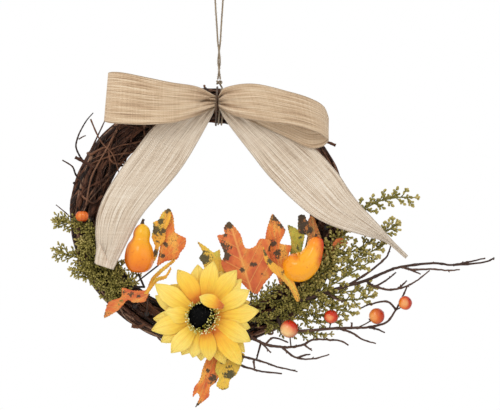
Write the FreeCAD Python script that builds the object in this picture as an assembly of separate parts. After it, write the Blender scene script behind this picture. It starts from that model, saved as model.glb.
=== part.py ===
"""A harvest door wreath: a grapevine ring on a twine hanger, with a burlap bow, a sunflower, gourds and foliage.

Millimetres. The origin is the top of the twine loop, where it goes over a door hook. +Z is up and +X is to the
right of someone who faces the door. The wreath's front faces -Y, and the door is on the +Y side.
Pieces are placed by (x, z) from the ring's centre and by depth, which is negative in front of the ring.
"""
import FreeCAD, Part
import math
import os
from FreeCAD import Vector

os.makedirs("parts", exist_ok=True)

# ---- driving dimensions -------------------------------------------------------------------------------------
HOOK_TO_RING = 267.0        # from the top of the twine loop down to the ring's centre
RING_SIDE = -12.0           # the heavy twigs at the right pull the ring's centre to the left of the hook
RING_DEPTH = 8.9            # the ring's mid plane lies this far behind the hook, which is over the centre of mass
RING_HALF_WIDTH = 149.5     # the ring is a little wider than it is tall
RING_HALF_HEIGHT = 142.5
SIDE_ARC = 139.5            # outer radius of the ring's two side arcs
VINE = 7.4                  # diameter of one vine
VINE_PITCH = 7.7            # from one turn's axis to the next
RIBBON_THICK = 0.8          # the bow's ribbon and the cloth of petals and leaves
TWINE = 2.0                 # diameter of one strand of twine
GAP = 0.3                   # running clearance between pieces
JOINT_SWELL = 1.06          # a rod is a little thicker where it bends

BUNDLE = 2 * VINE_PITCH + VINE / 2          # radius of the round bundle of vines
MIDDLE_WIDTH = RING_HALF_WIDTH - BUNDLE     # half width of the bundle's middle line
MIDDLE_HEIGHT = RING_HALF_HEIGHT - BUNDLE
RING_FRONT = -BUNDLE

# depths of the layers in front of the ring
DAB_FRONT = RING_FRONT - 1.7
SPRIG_DEPTH = -25.0
BACK_PETAL_DEPTH = -44.0
FRONT_PETAL_DEPTH = -47.0
TAIL_DEPTH = -24.0
TAIL_LEAN = 6.0             # degrees that the tails lean forward, over the foliage

# where stems are glued, in degrees round the ring from its right-hand side upwards
FLOWER_ANCHOR = 267
LEFT_PICK = 218
RIGHT_PICK = 328
PUMPKIN_ANCHOR = 181

PINCH = (10.0, 127.0)       # the bow's pinch, from the ring's centre
UP = Vector(0, 0, 1)
BACK = Vector(0, 1, 0)
RIGHT = Vector(1, 0, 0)


def place(x, z, depth=0.0):
    """A point given from the ring's centre, in the frame of the whole wreath."""
    return Vector(RING_SIDE + x, RING_DEPTH + depth, z - HOOK_TO_RING)


def save(name, shape):
    shape.exportStep(f"parts/{name}.step")
    print(f"{name}: {len(shape.Solids)} solid(s), {shape.Volume:.0f} mm3, valid {shape.isValid()}")


def fused(shapes):
    """One solid from several that overlap."""
    if len(shapes) == 1:
        return shapes[0]
    return shapes[0].fuse(shapes[1:])


def group(shapes):
    """Several separate solids in one node."""
    return Part.makeCompound(shapes)


def rod(points, thick, thin=None):
    """A round rod through the points, with ball joints, tapering from radius thick to radius thin."""
    thin = thick if thin is None else thin
    lengths = [(b - a).Length for a, b in zip(points, points[1:])]
    total = sum(lengths)
    pieces = []
    run = 0.0
    for a, b, length in zip(points, points[1:], lengths):
        start = thick + (thin - thick) * run / total
        run += length
        end = thick + (thin - thick) * run / total
        if abs(start - end) < 1e-6:
            pieces.append(Part.makeCylinder(start, length, a, b - a))
        else:
            pieces.append(Part.makeCone(start, end, length, a, b - a))
        pieces.append(Part.makeSphere(end * JOINT_SWELL, b, b - a))
    return fused(pieces)


def outline_face(outline, depth):
    """A flat face in the plane at that depth, from (x, z) points."""
    points = [place(x, z, depth) for x, z in outline]
    return Part.Face(Part.makePolygon(points + points[:1]))


def plate(outline, depth, thickness=RIBBON_THICK):
    """A flat plate whose front lies at that depth."""
    return outline_face(outline, depth).extrude(BACK * thickness)


def ring_point(degrees, depth):
    """A point on the middle line of the bundle, counted from the right-hand side upwards."""
    turn = math.radians(degrees)
    return place(MIDDLE_WIDTH * math.cos(turn), MIDDLE_HEIGHT * math.sin(turn), depth)


# ---- grapevine ring -----------------------------------------------------------------------------------------
def oval_turn(outward, depth):
    """One closed turn of vine: an oval of four tangent arcs, offset from the bundle's middle line."""
    side_shift = RING_HALF_WIDTH - SIDE_ARC
    top_arc = (side_shift**2 + RING_HALF_HEIGHT**2 - SIDE_ARC**2) / (2 * (RING_HALF_HEIGHT - SIDE_ARC))
    top_shift = top_arc - RING_HALF_HEIGHT
    side_half = math.degrees(math.atan2(top_shift, side_shift))
    top_half = 90 - side_half
    arcs = [
        (side_shift, 0.0, SIDE_ARC, -side_half, 2 * side_half),
        (0.0, -top_shift, top_arc, side_half, 2 * top_half),
        (-side_shift, 0.0, SIDE_ARC, 180 - side_half, 2 * side_half),
        (0.0, top_shift, top_arc, 180 + side_half, 2 * top_half),
    ]
    pieces = []
    for x, z, outer, start, sweep in arcs:
        radius = outer - BUNDLE + outward
        turn = math.radians(start)
        direction = Vector(math.cos(turn), 0, math.sin(turn))
        centre = place(x, z, depth)
        along = Vector(-direction.z, 0, direction.x)
        section = Part.Face(Part.Wire(Part.makeCircle(VINE / 2, centre + direction * radius, along)))
        pieces.append(section.revolve(centre, -BACK, sweep))
    return fused(pieces)


def packed_turns():
    """(outward, depth) of each turn in a round bundle: one in the middle, six round it and twelve outside."""
    core = [(0.0, 0.0)]
    for k in range(6):
        turn = math.radians(60 * k)
        core.append((VINE_PITCH * math.cos(turn), VINE_PITCH * math.sin(turn)))
    outside = []
    for k in range(6):
        turn = math.radians(60 * k)
        following = math.radians(60 * (k + 1))
        corner = (2 * VINE_PITCH * math.cos(turn), 2 * VINE_PITCH * math.sin(turn))
        middle = (
            VINE_PITCH * (math.cos(turn) + math.cos(following)),
            VINE_PITCH * (math.sin(turn) + math.sin(following)),
        )
        outside.append((corner, middle))
    return core, outside


def vines():
    core, outside = packed_turns()
    save("vine_core", group([oval_turn(outward, depth) for outward, depth in core]))
    for number, turns in enumerate(outside, start=1):
        save(f"vine_{number}", group([oval_turn(outward, depth) for outward, depth in turns]))


def ring_band(degrees, wire_radius, clearance=0.0):
    """A loop of wire or twine once round the bundle."""
    turn = math.radians(degrees)
    centre = ring_point(degrees, 0)
    along = Vector(-MIDDLE_WIDTH * math.sin(turn), 0, MIDDLE_HEIGHT * math.cos(turn))
    return Part.makeTorus(BUNDLE + GAP + clearance + wire_radius, wire_radius, centre, along)


def binding():
    """Thin vines tied round the bundle to hold its turns together."""
    save("binding_vines", group([ring_band(degrees, 1.3, 0.5) for degrees in (22, 61, 116, 148, 172, 197.5, 250, 297)]))


TENDRILS = [
    # (route from the ring's centre, radius at the root, radius at the tip, how far it stands off the vines)
    ([(-137, 62), (-141, 68), (-145, 78), (-143, 88), (-139, 97), (-137, 106), (-126, 115)], 1.1, 0.7, 0.5),
    ([(-136, 34), (-145, 47), (-149, 56), (-160, 63)], 1.2, 0.8, 0.5),
    ([(-127, 56), (-136, 61), (-146, 66)], 2.0, 1.6, 3.5),
    ([(-128, 75), (-121, 90), (-113, 107)], 1.0, 0.7, 0.5),
    ([(-142, -8), (-156, 5), (-167, 14)], 0.8, 0.5, 0.5),
    ([(119, 80), (129, 83), (140, 79)], 1.3, 1.6, 0.5),
    ([(-69, -117), (-77, -120), (-84, -119)], 1.8, 1.5, 0.5),
]


def tendrils():
    """Loose vine ends and curling tendrils, which lie on the outside of the bundle."""
    ends = []
    for route, thick, thin, lift in TENDRILS:
        depth = RING_FRONT - GAP - thick - lift
        ends.append(rod([place(x, z, depth) for x, z in route], thick, thin))
    save("tendrils", group(ends))


# ---- twine hanger -------------------------------------------------------------------------------------------
RING_TOP = MIDDLE_HEIGHT + BUNDLE - HOOK_TO_RING
KNOT_RADIUS = 3.0
KNOT = Vector(0, 0, RING_TOP + 6.0)     # the wreath tilts and turns about the knot's middle

# The twine's route: up the left strand, over the hook and down the right one. The strands are twisted low down.
TWINE_ROUTE = [
    (-1.4, 0.0, -115.2), (0.0, 1.4, -105.0), (1.4, 0.0, -95.0), (0.0, -1.4, -85.0), (-1.5, 0.0, -74.0),
    (-2.3, 0.0, -58.0), (-3.4, 0.0, -42.0), (-4.4, 0.0, -26.0), (-5.2, 0.0, -11.5), (-5.5, 0.0, 0.0),
    (5.5, 0.0, 0.0), (5.2, 0.0, -11.5), (4.4, 0.0, -26.0), (3.4, 0.0, -42.0), (2.3, 0.0, -58.0),
    (1.5, 0.0, -74.0), (0.0, 1.4, -85.0), (-1.4, 0.0, -95.0), (0.0, -1.4, -105.0), (1.4, 0.0, -115.2),
]


def cord_wire(points):
    """Straight runs joined by tangent arcs, each as large as its two runs allow."""
    corners = [Vector(*point) for point in points]
    edges = []
    start = corners[0]
    for before, corner, after in zip(corners, corners[1:], corners[2:]):
        incoming = (corner - before).normalize()
        outgoing = (after - corner).normalize()
        turn = incoming.getAngle(outgoing)
        cut = 0.45 * min((corner - before).Length, (after - corner).Length)
        radius = cut / math.tan(turn / 2)
        arc_start = corner - incoming * cut
        arc_end = corner + outgoing * cut
        inward = (outgoing - incoming).normalize()
        middle = corner + inward * (radius / math.cos(turn / 2) - radius)
        edges.append(Part.LineSegment(start, arc_start).toShape())
        edges.append(Part.Arc(arc_start, middle, arc_end).toShape())
        start = arc_end
    edges.append(Part.LineSegment(start, corners[-1]).toShape())
    return Part.Wire(edges)


def twine():
    wire = cord_wire(TWINE_ROUTE)
    first, second = Vector(*TWINE_ROUTE[0]), Vector(*TWINE_ROUTE[1])
    section = Part.Wire(Part.makeCircle(TWINE / 2, first, second - first))
    loop = wire.makePipeShell([section], True, False)
    expected = math.pi * TWINE**2 / 4 * wire.Length
    print(f"  twine {wire.Length:.1f} mm long, volume {loop.Volume:.0f} against {expected:.0f} mm3")
    save("twine_loop", loop)
    save("twine_knot", Part.makeSphere(KNOT_RADIUS, KNOT))

    # the wrap's first turn has a short end that rises to the knot
    first, second = (ring_band(degrees, TWINE / 2) for degrees in (84.2, 82.4))
    middle = ring_point(84.2, 0)
    toward = (KNOT - middle).normalize()
    rise_start = middle + toward * (BUNDLE + GAP + TWINE / 2)
    rise_end = KNOT - toward * (KNOT_RADIUS + GAP)
    rise = Part.makeCylinder(TWINE / 2, (rise_end - rise_start).Length, rise_start, toward)
    save("twine_wrap", group([first.fuse(rise), second]))


# ---- bow ----------------------------------------------------------------------------------------------------
TIE_WIRE = 0.6              # radius of the brown wire that pinches the bow
TIE_FRONT = -36.0
TIE_MIDDLE = MIDDLE_HEIGHT - 0.5    # height of the vines' middle line under the bow
TIE_SIDE = -0.75            # the wire passes this far to the side of the pinch's middle, clear of the twine
TIE_LEAN = 0.04
NECK_START = 1.6            # each loop begins this far from the pinch's middle
LOOP_BACK = -33.0
LOOP_FRONT = -58.0

LEFT_LOOP = [
    (8.4, 133), (-17, 145), (-45, 148), (-85, 157), (-108, 159), (-113, 150),
    (-114, 107), (-107, 104), (-67, 102), (-40, 104), (-17, 110), (8.4, 121),
]
RIGHT_TOP = [(11.6, 133), (15, 138), (23, 144), (38, 147), (63, 144), (90, 137), (116, 128), (127, 122), (132, 104)]
RIGHT_LOOP_FRONT = RIGHT_TOP + [(131, 86), (116, 95), (98, 100), (63, 105), (28, 112), (11.6, 121)]
RIGHT_LOOP_BACK = RIGHT_TOP + [(131, 84), (125, 78), (111, 77), (98, 86), (88, 97), (63, 105), (28, 112), (11.6, 121)]


def loop_band(neck, outer):
    """The folded ribbon seen from above: out along the front, round the end and back along the rear."""
    side = 1 if outer > neck else -1
    bend = (LOOP_BACK - LOOP_FRONT) / 2

    def ribbon_face(inset):
        neck_x = neck + side * inset
        front = LOOP_FRONT + inset
        back = LOOP_BACK - inset
        end_x = outer - side * bend
        low = -50.0
        neck_back = place(neck_x, low, -27.5 - inset)
        neck_front = place(neck_x, low, -33.0 + inset)
        front_end = place(end_x, low, front)
        back_end = place(end_x, low, back)
        belly = place(neck + 0.33 * (end_x - neck), low, front + 6.0)
        tip = place(outer - side * inset, low, (front + back) / 2)
        edges = [
            Part.LineSegment(neck_back, neck_front).toShape(),
            Part.Arc(neck_front, belly, front_end).toShape(),
            Part.Arc(front_end, tip, back_end).toShape(),
            Part.LineSegment(back_end, neck_back).toShape(),
        ]
        return Part.Face(Part.Wire(edges))

    band = ribbon_face(0.0).cut(ribbon_face(RIBBON_THICK))
    return band.extrude(UP * 260)


def silhouette(outline, near, far):
    return outline_face(outline, near).extrude(BACK * (far - near))


def bow_loops():
    middle = (LOOP_FRONT + LOOP_BACK) / 2
    left = loop_band(PINCH[0] - NECK_START, -114.0).common(silhouette(LEFT_LOOP, -70, -20))
    save("bow_left_loop", left)
    band = loop_band(PINCH[0] + NECK_START, 132.0)
    front = band.common(silhouette(RIGHT_LOOP_FRONT, -70, middle))
    back = band.common(silhouette(RIGHT_LOOP_BACK, middle, -20))
    save("bow_right_loop", front.fuse(back))


LEFT_TAIL = [
    (8.0, 133), (-57, 101), (-96, 50), (-113, 24), (-122, 1), (-123, -18), (-121, -33), (-124, -51),
    (-109, -57), (-104, -58), (-98, -45), (-74, 0), (-60, 18), (-33, 48), (-10, 86), (6, 117), (8.0, 121),
]
RIGHT_TAIL = [
    (12.0, 133), (60, 116), (88, 98), (116, 76), (144, 51), (164, 16), (188, -10), (202, -26), (219, -43),
    (217, -45), (200, -29), (188, -25), (155, -17), (122, -3), (101, 12), (68, 44), (46, 72), (19, 107), (12.0, 121),
]
LEFT_BEND = (-40.0, 80.0)       # where each tail comes free of its loop and can be lifted
RIGHT_BEND = (100.0, 53.0)
LEFT_RUN = (-0.55, -0.835)      # the way each tail runs
RIGHT_RUN = (0.769, -0.639)
BEND_GAP = 0.45


def half_plane(bend, run, beyond):
    """A big block that holds everything on one side of the line where a tail bends."""
    way = Vector(run[0], 0, run[1]) * (1 if beyond else -1)
    across = Vector(-way.z, 0, way.x)
    corner = place(bend[0], bend[1], -60) + way * BEND_GAP - across * 400
    return Part.Face(
        Part.makePolygon([corner, corner + across * 800, corner + across * 800 + way * 500, corner + way * 500, corner])
    ).extrude(BACK * 80)


def bow_tails():
    """Each tail is a flat strip that leans over the foliage. It is cut where it bends when it is lifted."""
    for side, outline, bend, run in (
        ("left", LEFT_TAIL, LEFT_BEND, LEFT_RUN),
        ("right", RIGHT_TAIL, RIGHT_BEND, RIGHT_RUN),
    ):
        strip = plate(outline, TAIL_DEPTH)
        strip.rotate(place(PINCH[0], PINCH[1], TAIL_DEPTH), RIGHT, -TAIL_LEAN)
        save(f"bow_{side}_tail_top", strip.common(half_plane(bend, run, False)))
        save(f"bow_{side}_tail", strip.common(half_plane(bend, run, True)))


def tie_point(height, depth):
    """A point of the tie wire, which leans with the vines' own slope beside the top of the ring."""
    return place(PINCH[0] + TIE_SIDE + TIE_LEAN * height, TIE_MIDDLE + height, depth)


def bow_tie():
    """A wire round the pinch and round the back of the vines, at the middle of the bow."""
    around = BUNDLE + 2 * GAP + TIE_WIRE
    points = []
    for k in range(13):
        turn = math.radians(90 - 15 * k)
        points.append(tie_point(around * math.sin(turn), around * math.cos(turn)))
    above = PINCH[1] - TIE_MIDDLE
    points.append(tie_point(above - 9, TIE_FRONT + 3))
    points.append(tie_point(above - 5, TIE_FRONT))
    points.append(tie_point(above + 5, TIE_FRONT))
    points.append(tie_point(above + 9, TIE_FRONT + 3))
    points.append(points[0])
    save("bow_tie_wire", rod(points, TIE_WIRE))


# ---- sunflower ----------------------------------------------------------------------------------------------
FLOWER = (-4.0, -107.0)
DISC_RADIUS = 14.5
STAMEN_RADIUS = 20.0


def petal(length, half_width, degrees, depth, root=12.0):
    """A pointed petal: two arcs that meet at its tip, and a straight root."""
    turn = math.radians(degrees)

    def at(along, across):
        x = FLOWER[0] + along * math.cos(turn) - across * math.sin(turn)
        z = FLOWER[1] + along * math.sin(turn) + across * math.cos(turn)
        return place(x, z, depth)

    belly = root + 0.55 * (length - root)
    edges = [
        Part.LineSegment(at(root, -0.45 * half_width), at(root, 0.45 * half_width)).toShape(),
        Part.Arc(at(root, 0.45 * half_width), at(belly, half_width), at(length, 0)).toShape(),
        Part.Arc(at(length, 0), at(belly, -half_width), at(root, -0.45 * half_width)).toShape(),
    ]
    return Part.Face(Part.Wire(edges)).extrude(BACK * RIBBON_THICK)


# (direction in degrees, length) of each petal
FRONT_PETALS = [
    (151, 64), (116, 58), (83, 60), (57, 61), (28, 57), (2, 60), (332, 58), (309, 68), (277, 50), (254, 48),
    (229, 55), (196, 60), (177, 44),
]
BACK_PETALS = [
    (162, 58), (134, 50), (100, 56), (70, 52), (43, 57), (14, 52), (346, 52), (320, 60), (293, 58), (265, 50),
    (241, 50), (212, 56), (186, 56),
]


def petals(sizes, depth, half_width):
    centre = place(FLOWER[0], FLOWER[1], depth)
    hub = Part.makeCylinder(17, RIBBON_THICK, centre, BACK)
    layer = fused([hub] + [petal(length, half_width, degrees, depth) for degrees, length in sizes])
    return layer.removeSplitter()


def sunflower():
    save("sunflower_back_petals", petals(BACK_PETALS, BACK_PETAL_DEPTH, 11.0))
    save("sunflower_front_petals", petals(FRONT_PETALS, FRONT_PETAL_DEPTH, 11.5))
    centre = place(FLOWER[0] - 3.0, FLOWER[1] - 1.0, FRONT_PETAL_DEPTH - GAP)
    dome_radius = 17.0
    dome_height = 6.5
    cap = Part.makeSphere(dome_radius, centre + BACK * (dome_radius - dome_height))
    block = Part.makeBox(60, 30, 60, centre + Vector(-30, -30, -30))
    save("sunflower_disc", cap.common(block))
    seeds = []
    for ring_radius, count, height in ((15.2, 26, 4.0), (18.4, 32, 3.0)):
        for k in range(count):
            turn = 2 * math.pi * k / count
            foot = centre + Vector(ring_radius * math.cos(turn), 0, ring_radius * math.sin(turn))
            seeds.append(Part.makeCone(0.7, 1.3, height, foot, -BACK))
    save("sunflower_stamens", group(seeds))
    behind = place(FLOWER[0], FLOWER[1], BACK_PETAL_DEPTH + RIBBON_THICK + GAP)
    save("sunflower_calyx", Part.makeCone(16, 5, 7, behind, BACK))
    stem_start = behind + BACK * (7 + GAP)
    anchor = ring_point(FLOWER_ANCHOR, DAB_FRONT)
    save("sunflower_stem", rod([stem_start, stem_start + BACK * 4, stem_start + Vector(0, 9, -6), anchor], 2.2))


# ---- gourds -------------------------------------------------------------------------------------------------
def turned(profile, foot, direction):
    """A solid of revolution from (radius, height) points, joined by a smooth curve."""
    points = [Vector(radius, 0, height) for radius, height in profile]
    curve = Part.BSplineCurve()
    curve.interpolate(points)
    bottom, top = points[0], points[-1]
    edges = [curve.toShape()]
    if top.x > 1e-6:
        edges.append(Part.LineSegment(top, Vector(0, 0, top.z)).toShape())
    edges.append(Part.LineSegment(Vector(0, 0, top.z), Vector(0, 0, bottom.z)).toShape())
    if bottom.x > 1e-6:
        edges.append(Part.LineSegment(Vector(0, 0, bottom.z), bottom).toShape())
    solid = Part.Face(Part.Wire(edges)).revolve(Vector(), UP, 360)
    solid.Placement = FreeCAD.Placement(foot, FreeCAD.Rotation(UP, direction))
    return solid


LEFT_GOURD = [(3.0, 0.0), (11.5, 3.0), (15.8, 15.5), (13.0, 27.0), (9.0, 35.0), (8.4, 43.0), (6.6, 50.0), (2.2, 54.0)]
RIGHT_GOURD_DEPTH = -51.0
LEFT_GOURD_DEPTH = -42.0


def gourds():
    foot = place(-76, -60.5, LEFT_GOURD_DEPTH)
    up = Vector(0.07, 0, 1)
    save("gourd_left", turned(LEFT_GOURD, foot, up))
    crown = foot + up * (LEFT_GOURD[-1][1] + GAP)
    save("gourd_left_stalk", rod([crown, crown + Vector(0.5, 0, 2.5), crown + Vector(1.6, 0, 5.0)], 1.8, 1.3))

    body = place(99.5, -54, RIGHT_GOURD_DEPTH)
    head = place(117.5, -30, RIGHT_GOURD_DEPTH)
    middle = place(110, -41, RIGHT_GOURD_DEPTH)
    way = head - body
    neck = Part.makeCone(14.0, 8.6, way.Length, body, way)
    save("gourd_right", fused([Part.makeSphere(17.2, body), neck, Part.makeSphere(9.4, head), Part.makeSphere(11.5, middle)]))
    top = head + Vector(0.3, 0, 1).normalize() * (9.4 + GAP)
    save("gourd_right_stalk", rod([top, top + Vector(0.4, 0, 2.0)], 1.6, 1.2))

    left_pick = rod([foot - up * (0.3 + 1.2), place(-70, -76, -33), ring_point(LEFT_PICK, DAB_FRONT)], 1.2)
    right_pick = rod([body + BACK * (17.2 + 1.5), ring_point(RIGHT_PICK, DAB_FRONT)], 1.2)
    save("gourd_picks", group([left_pick, right_pick]))


# ---- leaves -------------------------------------------------------------------------------------------------
# name: (outline from the ring's centre, depth, route of the stem, anchor on the ring in degrees)
LEAVES = {
    "leaf_left_tall": (
        [(-56, -53), (-54, -40), (-58, -27), (-57, -14), (-59, -6), (-52, -3), (-48, 2), (-42, 10), (-39, 1),
         (-37, -9), (-32, -14), (-33, -22), (-23, -29), (-31, -34), (-35, -42), (-45, -46)],
        -30.0, [(-54, -50), (-60, -72)], 223),
    "leaf_left_low": (
        [(-64, -80), (-70, -80), (-82, -80), (-94, -77), (-95, -87), (-109, -93), (-114, -110), (-99, -102),
         (-88, -90), (-82, -93), (-69, -92)],
        -28.5, [(-66, -84), (-72, -95)], 232),
    "leaf_left_yellow": (
        [(-66, -79), (-58, -66), (-50, -53), (-40, -46), (-44, -56), (-54, -70), (-62, -82)],
        -33.5, [(-62, -78), (-60, -98)], 239),
    "leaf_centre_yellow": (
        [(16, -78), (8, -66), (-2, -60), (-6, -50), (-10, -44), (-6, -38), (-12, -26), (-2, -32), (6, -38),
         (13, -35), (14, -44), (20, -55), (24, -70)],
        -31.0, [(18, -74), (20, -108)], 279),
    "leaf_centre_large": (
        [(45, -80), (35, -70), (20, -62), (14, -50), (18, -40), (10, -20), (18, -18), (17, -11), (23, -4),
         (31, -12), (36, -19), (40, -32), (45, -34), (52, -31), (57, -23), (69, -25), (66, -36), (73, -58), (60, -66)],
        -34.0, [(46, -76), (46, -108)], 293),
    "leaf_centre_right": (
        [(80, -76), (74, -60), (64, -46), (62, -30), (64, -14), (70, 4), (75, 0), (85, -14), (79, -28), (92, -31),
         (88, -42), (86, -56)],
        -29.5, [(80, -72), (78, -92)], 309),
    "leaf_right_green": (
        [(98, -52), (90, -40), (91, -26), (87, -8), (97, -12), (106, -19), (103, -36), (104, -48)],
        -24.5, [(101, -50), (108, -58)], 331),
    "leaf_right_brown": (
        [(116, -44), (108, -34), (109, -20), (103, -14), (102, 1), (109, -4), (114, 6), (118, -4), (124, -21),
         (126, -34)],
        -27.0, [(119, -40), (124, -34)], 346),
    "leaf_bottom_orange": (
        [(14, -146), (1, -157), (-6, -166), (-8, -180), (-15, -193), (-11, -208), (-5, -198), (2, -197), (6, -186),
         (14, -173), (16, -160)],
        -27.5, [(14, -150), (12, -128)], 275),
    "leaf_bottom_yellow": (
        [(20, -146), (20, -158), (20, -172), (14, -184), (19, -182), (21, -190), (25, -184), (27, -172), (34, -170),
         (41, -158), (30, -150)],
        -30.0, [(23, -150), (26, -126)], 283),
}


def leaves():
    for name, (outline, depth, stem, degrees) in LEAVES.items():
        blade = plate(outline, depth)
        route = [place(x, z, depth + RIBBON_THICK / 2) for x, z in stem[:1]]
        route += [place(x, z, depth + 1.5) for x, z in stem[1:]]
        route.append(ring_point(degrees, DAB_FRONT))
        save(name, fused([blade, rod(route, 0.9)]))


# ---- evergreen sprigs ---------------------------------------------------------------------------------------
# name: (anchor on the ring in degrees, depth, route of the stem, number of side shoots, length of a side shoot)
SPRIGS = {
    "sprig_left_upper": (193, SPRIG_DEPTH, [(-128, -16), (-144, -8), (-156, -5), (-164, -4)], 8, 11),
    "sprig_left_lower": (207, SPRIG_DEPTH, [(-122, -54), (-134, -47), (-153, -41), (-165, -37)], 8, 11),
    "sprig_left_under": (214, SPRIG_DEPTH, [(-108, -78), (-116, -74), (-121, -71)], 5, 8),
    "sprig_right_top": (355, SPRIG_DEPTH, [(148, -6), (169, 8), (188, 18), (208, 22), (226, 22)], 10, 12),
    "sprig_right_upper": (342, SPRIG_DEPTH, [(156, -38), (182, -24), (196, -15), (204, -9)], 7, 11),
    "sprig_right_middle": (335, SPRIG_DEPTH - 5.5, [(143, -58), (160, -49), (178, -38), (192, -30)], 7, 11),
    "sprig_right_low": (324, SPRIG_DEPTH, [(120, -84), (140, -89), (163, -90), (181, -86)], 8, 8),
    "sprig_right_inner": (314, SPRIG_DEPTH, [(94, -98), (108, -104), (128, -107), (142, -107)], 8, 9),
    "sprig_right_bottom": (300, SPRIG_DEPTH, [(68, -118), (84, -124), (100, -126), (116, -127), (132, -128)], 8, 7),
}
SHOOT_RADIUS = 0.8
BUD_RADIUS = 1.9
SHOOT_RISE = 0.15           # side shoots point a little forward, out of the sprig's plane


def along_route(points, share):
    """The point at that share of a route's length, and the way it runs there."""
    lengths = [(b - a).Length for a, b in zip(points, points[1:])]
    left = share * sum(lengths)
    for a, b, length in zip(points, points[1:], lengths):
        if left <= length:
            way = (b - a).normalize()
            return a + way * left, way
        left -= length
    return points[-1], (points[-1] - points[-2]).normalize()


def sprigs():
    """Each sprig is a stem with blunt side shoots on both sides, and a bud at its tip."""
    for name, (degrees, depth, route, count, reach) in SPRIGS.items():
        points = [ring_point(degrees, DAB_FRONT)] + [place(x, z, depth) for x, z in route]
        pieces = [rod(points, 1.3, 0.9), Part.makeSphere(BUD_RADIUS, points[-1], points[-1] - points[-2])]
        for k in range(count):
            root, way = along_route(points[1:], k / count)
            side = 1 if k % 2 else -1
            turned_way = (FreeCAD.Rotation(BACK, side * 48).multVec(way) - BACK * SHOOT_RISE).normalize()
            length = reach * (1.0 - 0.4 * k / count)
            end = root + turned_way * length
            pieces.append(Part.makeCylinder(SHOOT_RADIUS, length, root, turned_way))
            pieces.append(Part.makeSphere(BUD_RADIUS, end, turned_way))
        save(name, fused(pieces))


# ---- twig sprays --------------------------------------------------------------------------------------------
# name: (anchor in degrees, trunk route, radius at the root, branches as routes, depth)
TWIGS = {
    "twig_spray_long": (
        319,
        [(101, -91), (130, -82), (152, -75), (173, -69), (196, -59), (212, -54), (246, -50), (269, -52), (302, -49), (314, -44)],
        1.9,
        [
            [(173, -69), (182, -75), (190, -72), (199, -66), (206, -60)],
            [(182, -75), (196, -79), (208, -78), (218, -75), (229, -69), (243, -58)],
            [(208, -78), (218, -69)],
            [(212, -54), (224, -57), (246, -56.5), (263, -58), (276, -57)],
            [(212, -54), (220, -56.5), (233, -62)],
            [(269, -52), (284, -49), (304, -44.5)],
            [(130, -82), (140, -89), (150, -92)],
            [(152, -75), (176, -60), (194, -45), (201, -29)],
        ],
        -31.0),
    "twig_spray_berries": (
        304,
        [(80, -119), (98, -124), (133, -122), (157, -121), (176, -120), (195, -115), (206, -101), (213, -87), (218, -76)],
        1.6,
        [
            [(145, -122), (159, -127), (170, -134), (184, -138)],
            [(176, -120), (184, -122), (194, -126)],
            [(157, -121), (158, -115)],
            [(206, -101), (196, -92), (178, -95)],
        ],
        -33.5),
    "twig_spray_low": (
        288,
        [(46, -131), (63, -139), (81, -142), (91, -142), (105, -139), (115, -134), (133, -134), (145, -135), (154, -140)],
        1.5,
        [
            [(81, -142), (89, -149), (98, -154), (114, -155), (133, -150)],
            [(98, -154), (112, -150)],
            [(105, -139), (114, -146)],
            [(56, -135), (69, -148)],
            [(58, -137), (53, -156)],
            [(63, -139), (72, -132), (88, -137)],
        ],
        -30.0),
    "twig_spray_bottom": (
        271,
        [(14, -138), (22, -147), (35, -161), (49, -166), (61, -169), (81, -171)],
        1.4,
        [
            [(22, -147), (41, -153), (53, -156), (66, -160), (77, -164), (91, -167), (98, -169)],
            [(50, -157), (51, -166)],
        ],
        -33.5),
}


BRANCH_STEP = 0.35          # branches leave a trunk a little in front of its middle


def twig_sprays():
    for name, (degrees, trunk, thick, branches, depth) in TWIGS.items():
        points = [ring_point(degrees, DAB_FRONT)] + [place(x, z, depth) for x, z in trunk]
        pieces = [rod(points, thick, 0.8)]
        for route in branches:
            pieces.append(rod([place(x, z, depth - BRANCH_STEP) for x, z in route], 1.0, 0.7))
        save(name, fused(pieces))


# ---- berries ------------------------------------------------------------------------------------------------
# name: (centre, radius, depth, foot of its stem, depth of that foot)
BERRIES = {
    "berry_large": ((89, -122), 9.9, -43.0, (91, -142), -30.0),
    "berry_near": ((135, -108.5), 7.7, -41.5, (133, -122), -33.5),
    "berry_middle": ((185, -108), 8.8, -33.5, (164, -120.6), -33.5),
    "berry_far": ((216, -93.5), 7.7, -42.5, (206, -101), -33.5),
}


def berries():
    for name, (centre, radius, depth, foot, foot_depth) in BERRIES.items():
        middle = place(centre[0], centre[1], depth)
        root = place(foot[0], foot[1], foot_depth)
        save(name, fused([Part.makeSphere(radius, middle), rod([root, middle], 0.9)]))
    middle = place(-138, 1.5, -36.0)
    lobes = []
    for k in range(8):
        turn = 2 * math.pi * k / 8
        lobes.append(Part.makeSphere(5.0, middle + Vector(2.4 * math.cos(turn), 2.4 * math.sin(turn), 0)))
    body = fused(lobes)
    stalk = rod([middle + UP * 3, middle + UP * 8], 0.9)
    pick = rod([middle, ring_point(PUMPKIN_ANCHOR, DAB_FRONT)], 0.9)
    save("berry_pumpkin", fused([body, stalk, pick]))


# ---- glue ---------------------------------------------------------------------------------------------------
def glue_dabs():
    """A dab of glue on the vines under each stem. The stem ends on the dab's face."""
    anchors = [FLOWER_ANCHOR, LEFT_PICK, RIGHT_PICK, PUMPKIN_ANCHOR]
    anchors += [leaf[3] for leaf in LEAVES.values()]
    anchors += [sprig[0] for sprig in SPRIGS.values()]
    anchors += [twig[0] for twig in TWIGS.values()]
    height = RING_FRONT - GAP - DAB_FRONT
    dabs = [Part.makeCone(2.6, 3.0, height, ring_point(degrees, DAB_FRONT), BACK) for degrees in anchors]
    save("glue_dabs", group(dabs))


vines()
binding()
tendrils()
twine()
bow_loops()
bow_tails()
bow_tie()
sunflower()
gourds()
leaves()
sprigs()
twig_sprays()
berries()
glue_dabs()
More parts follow.
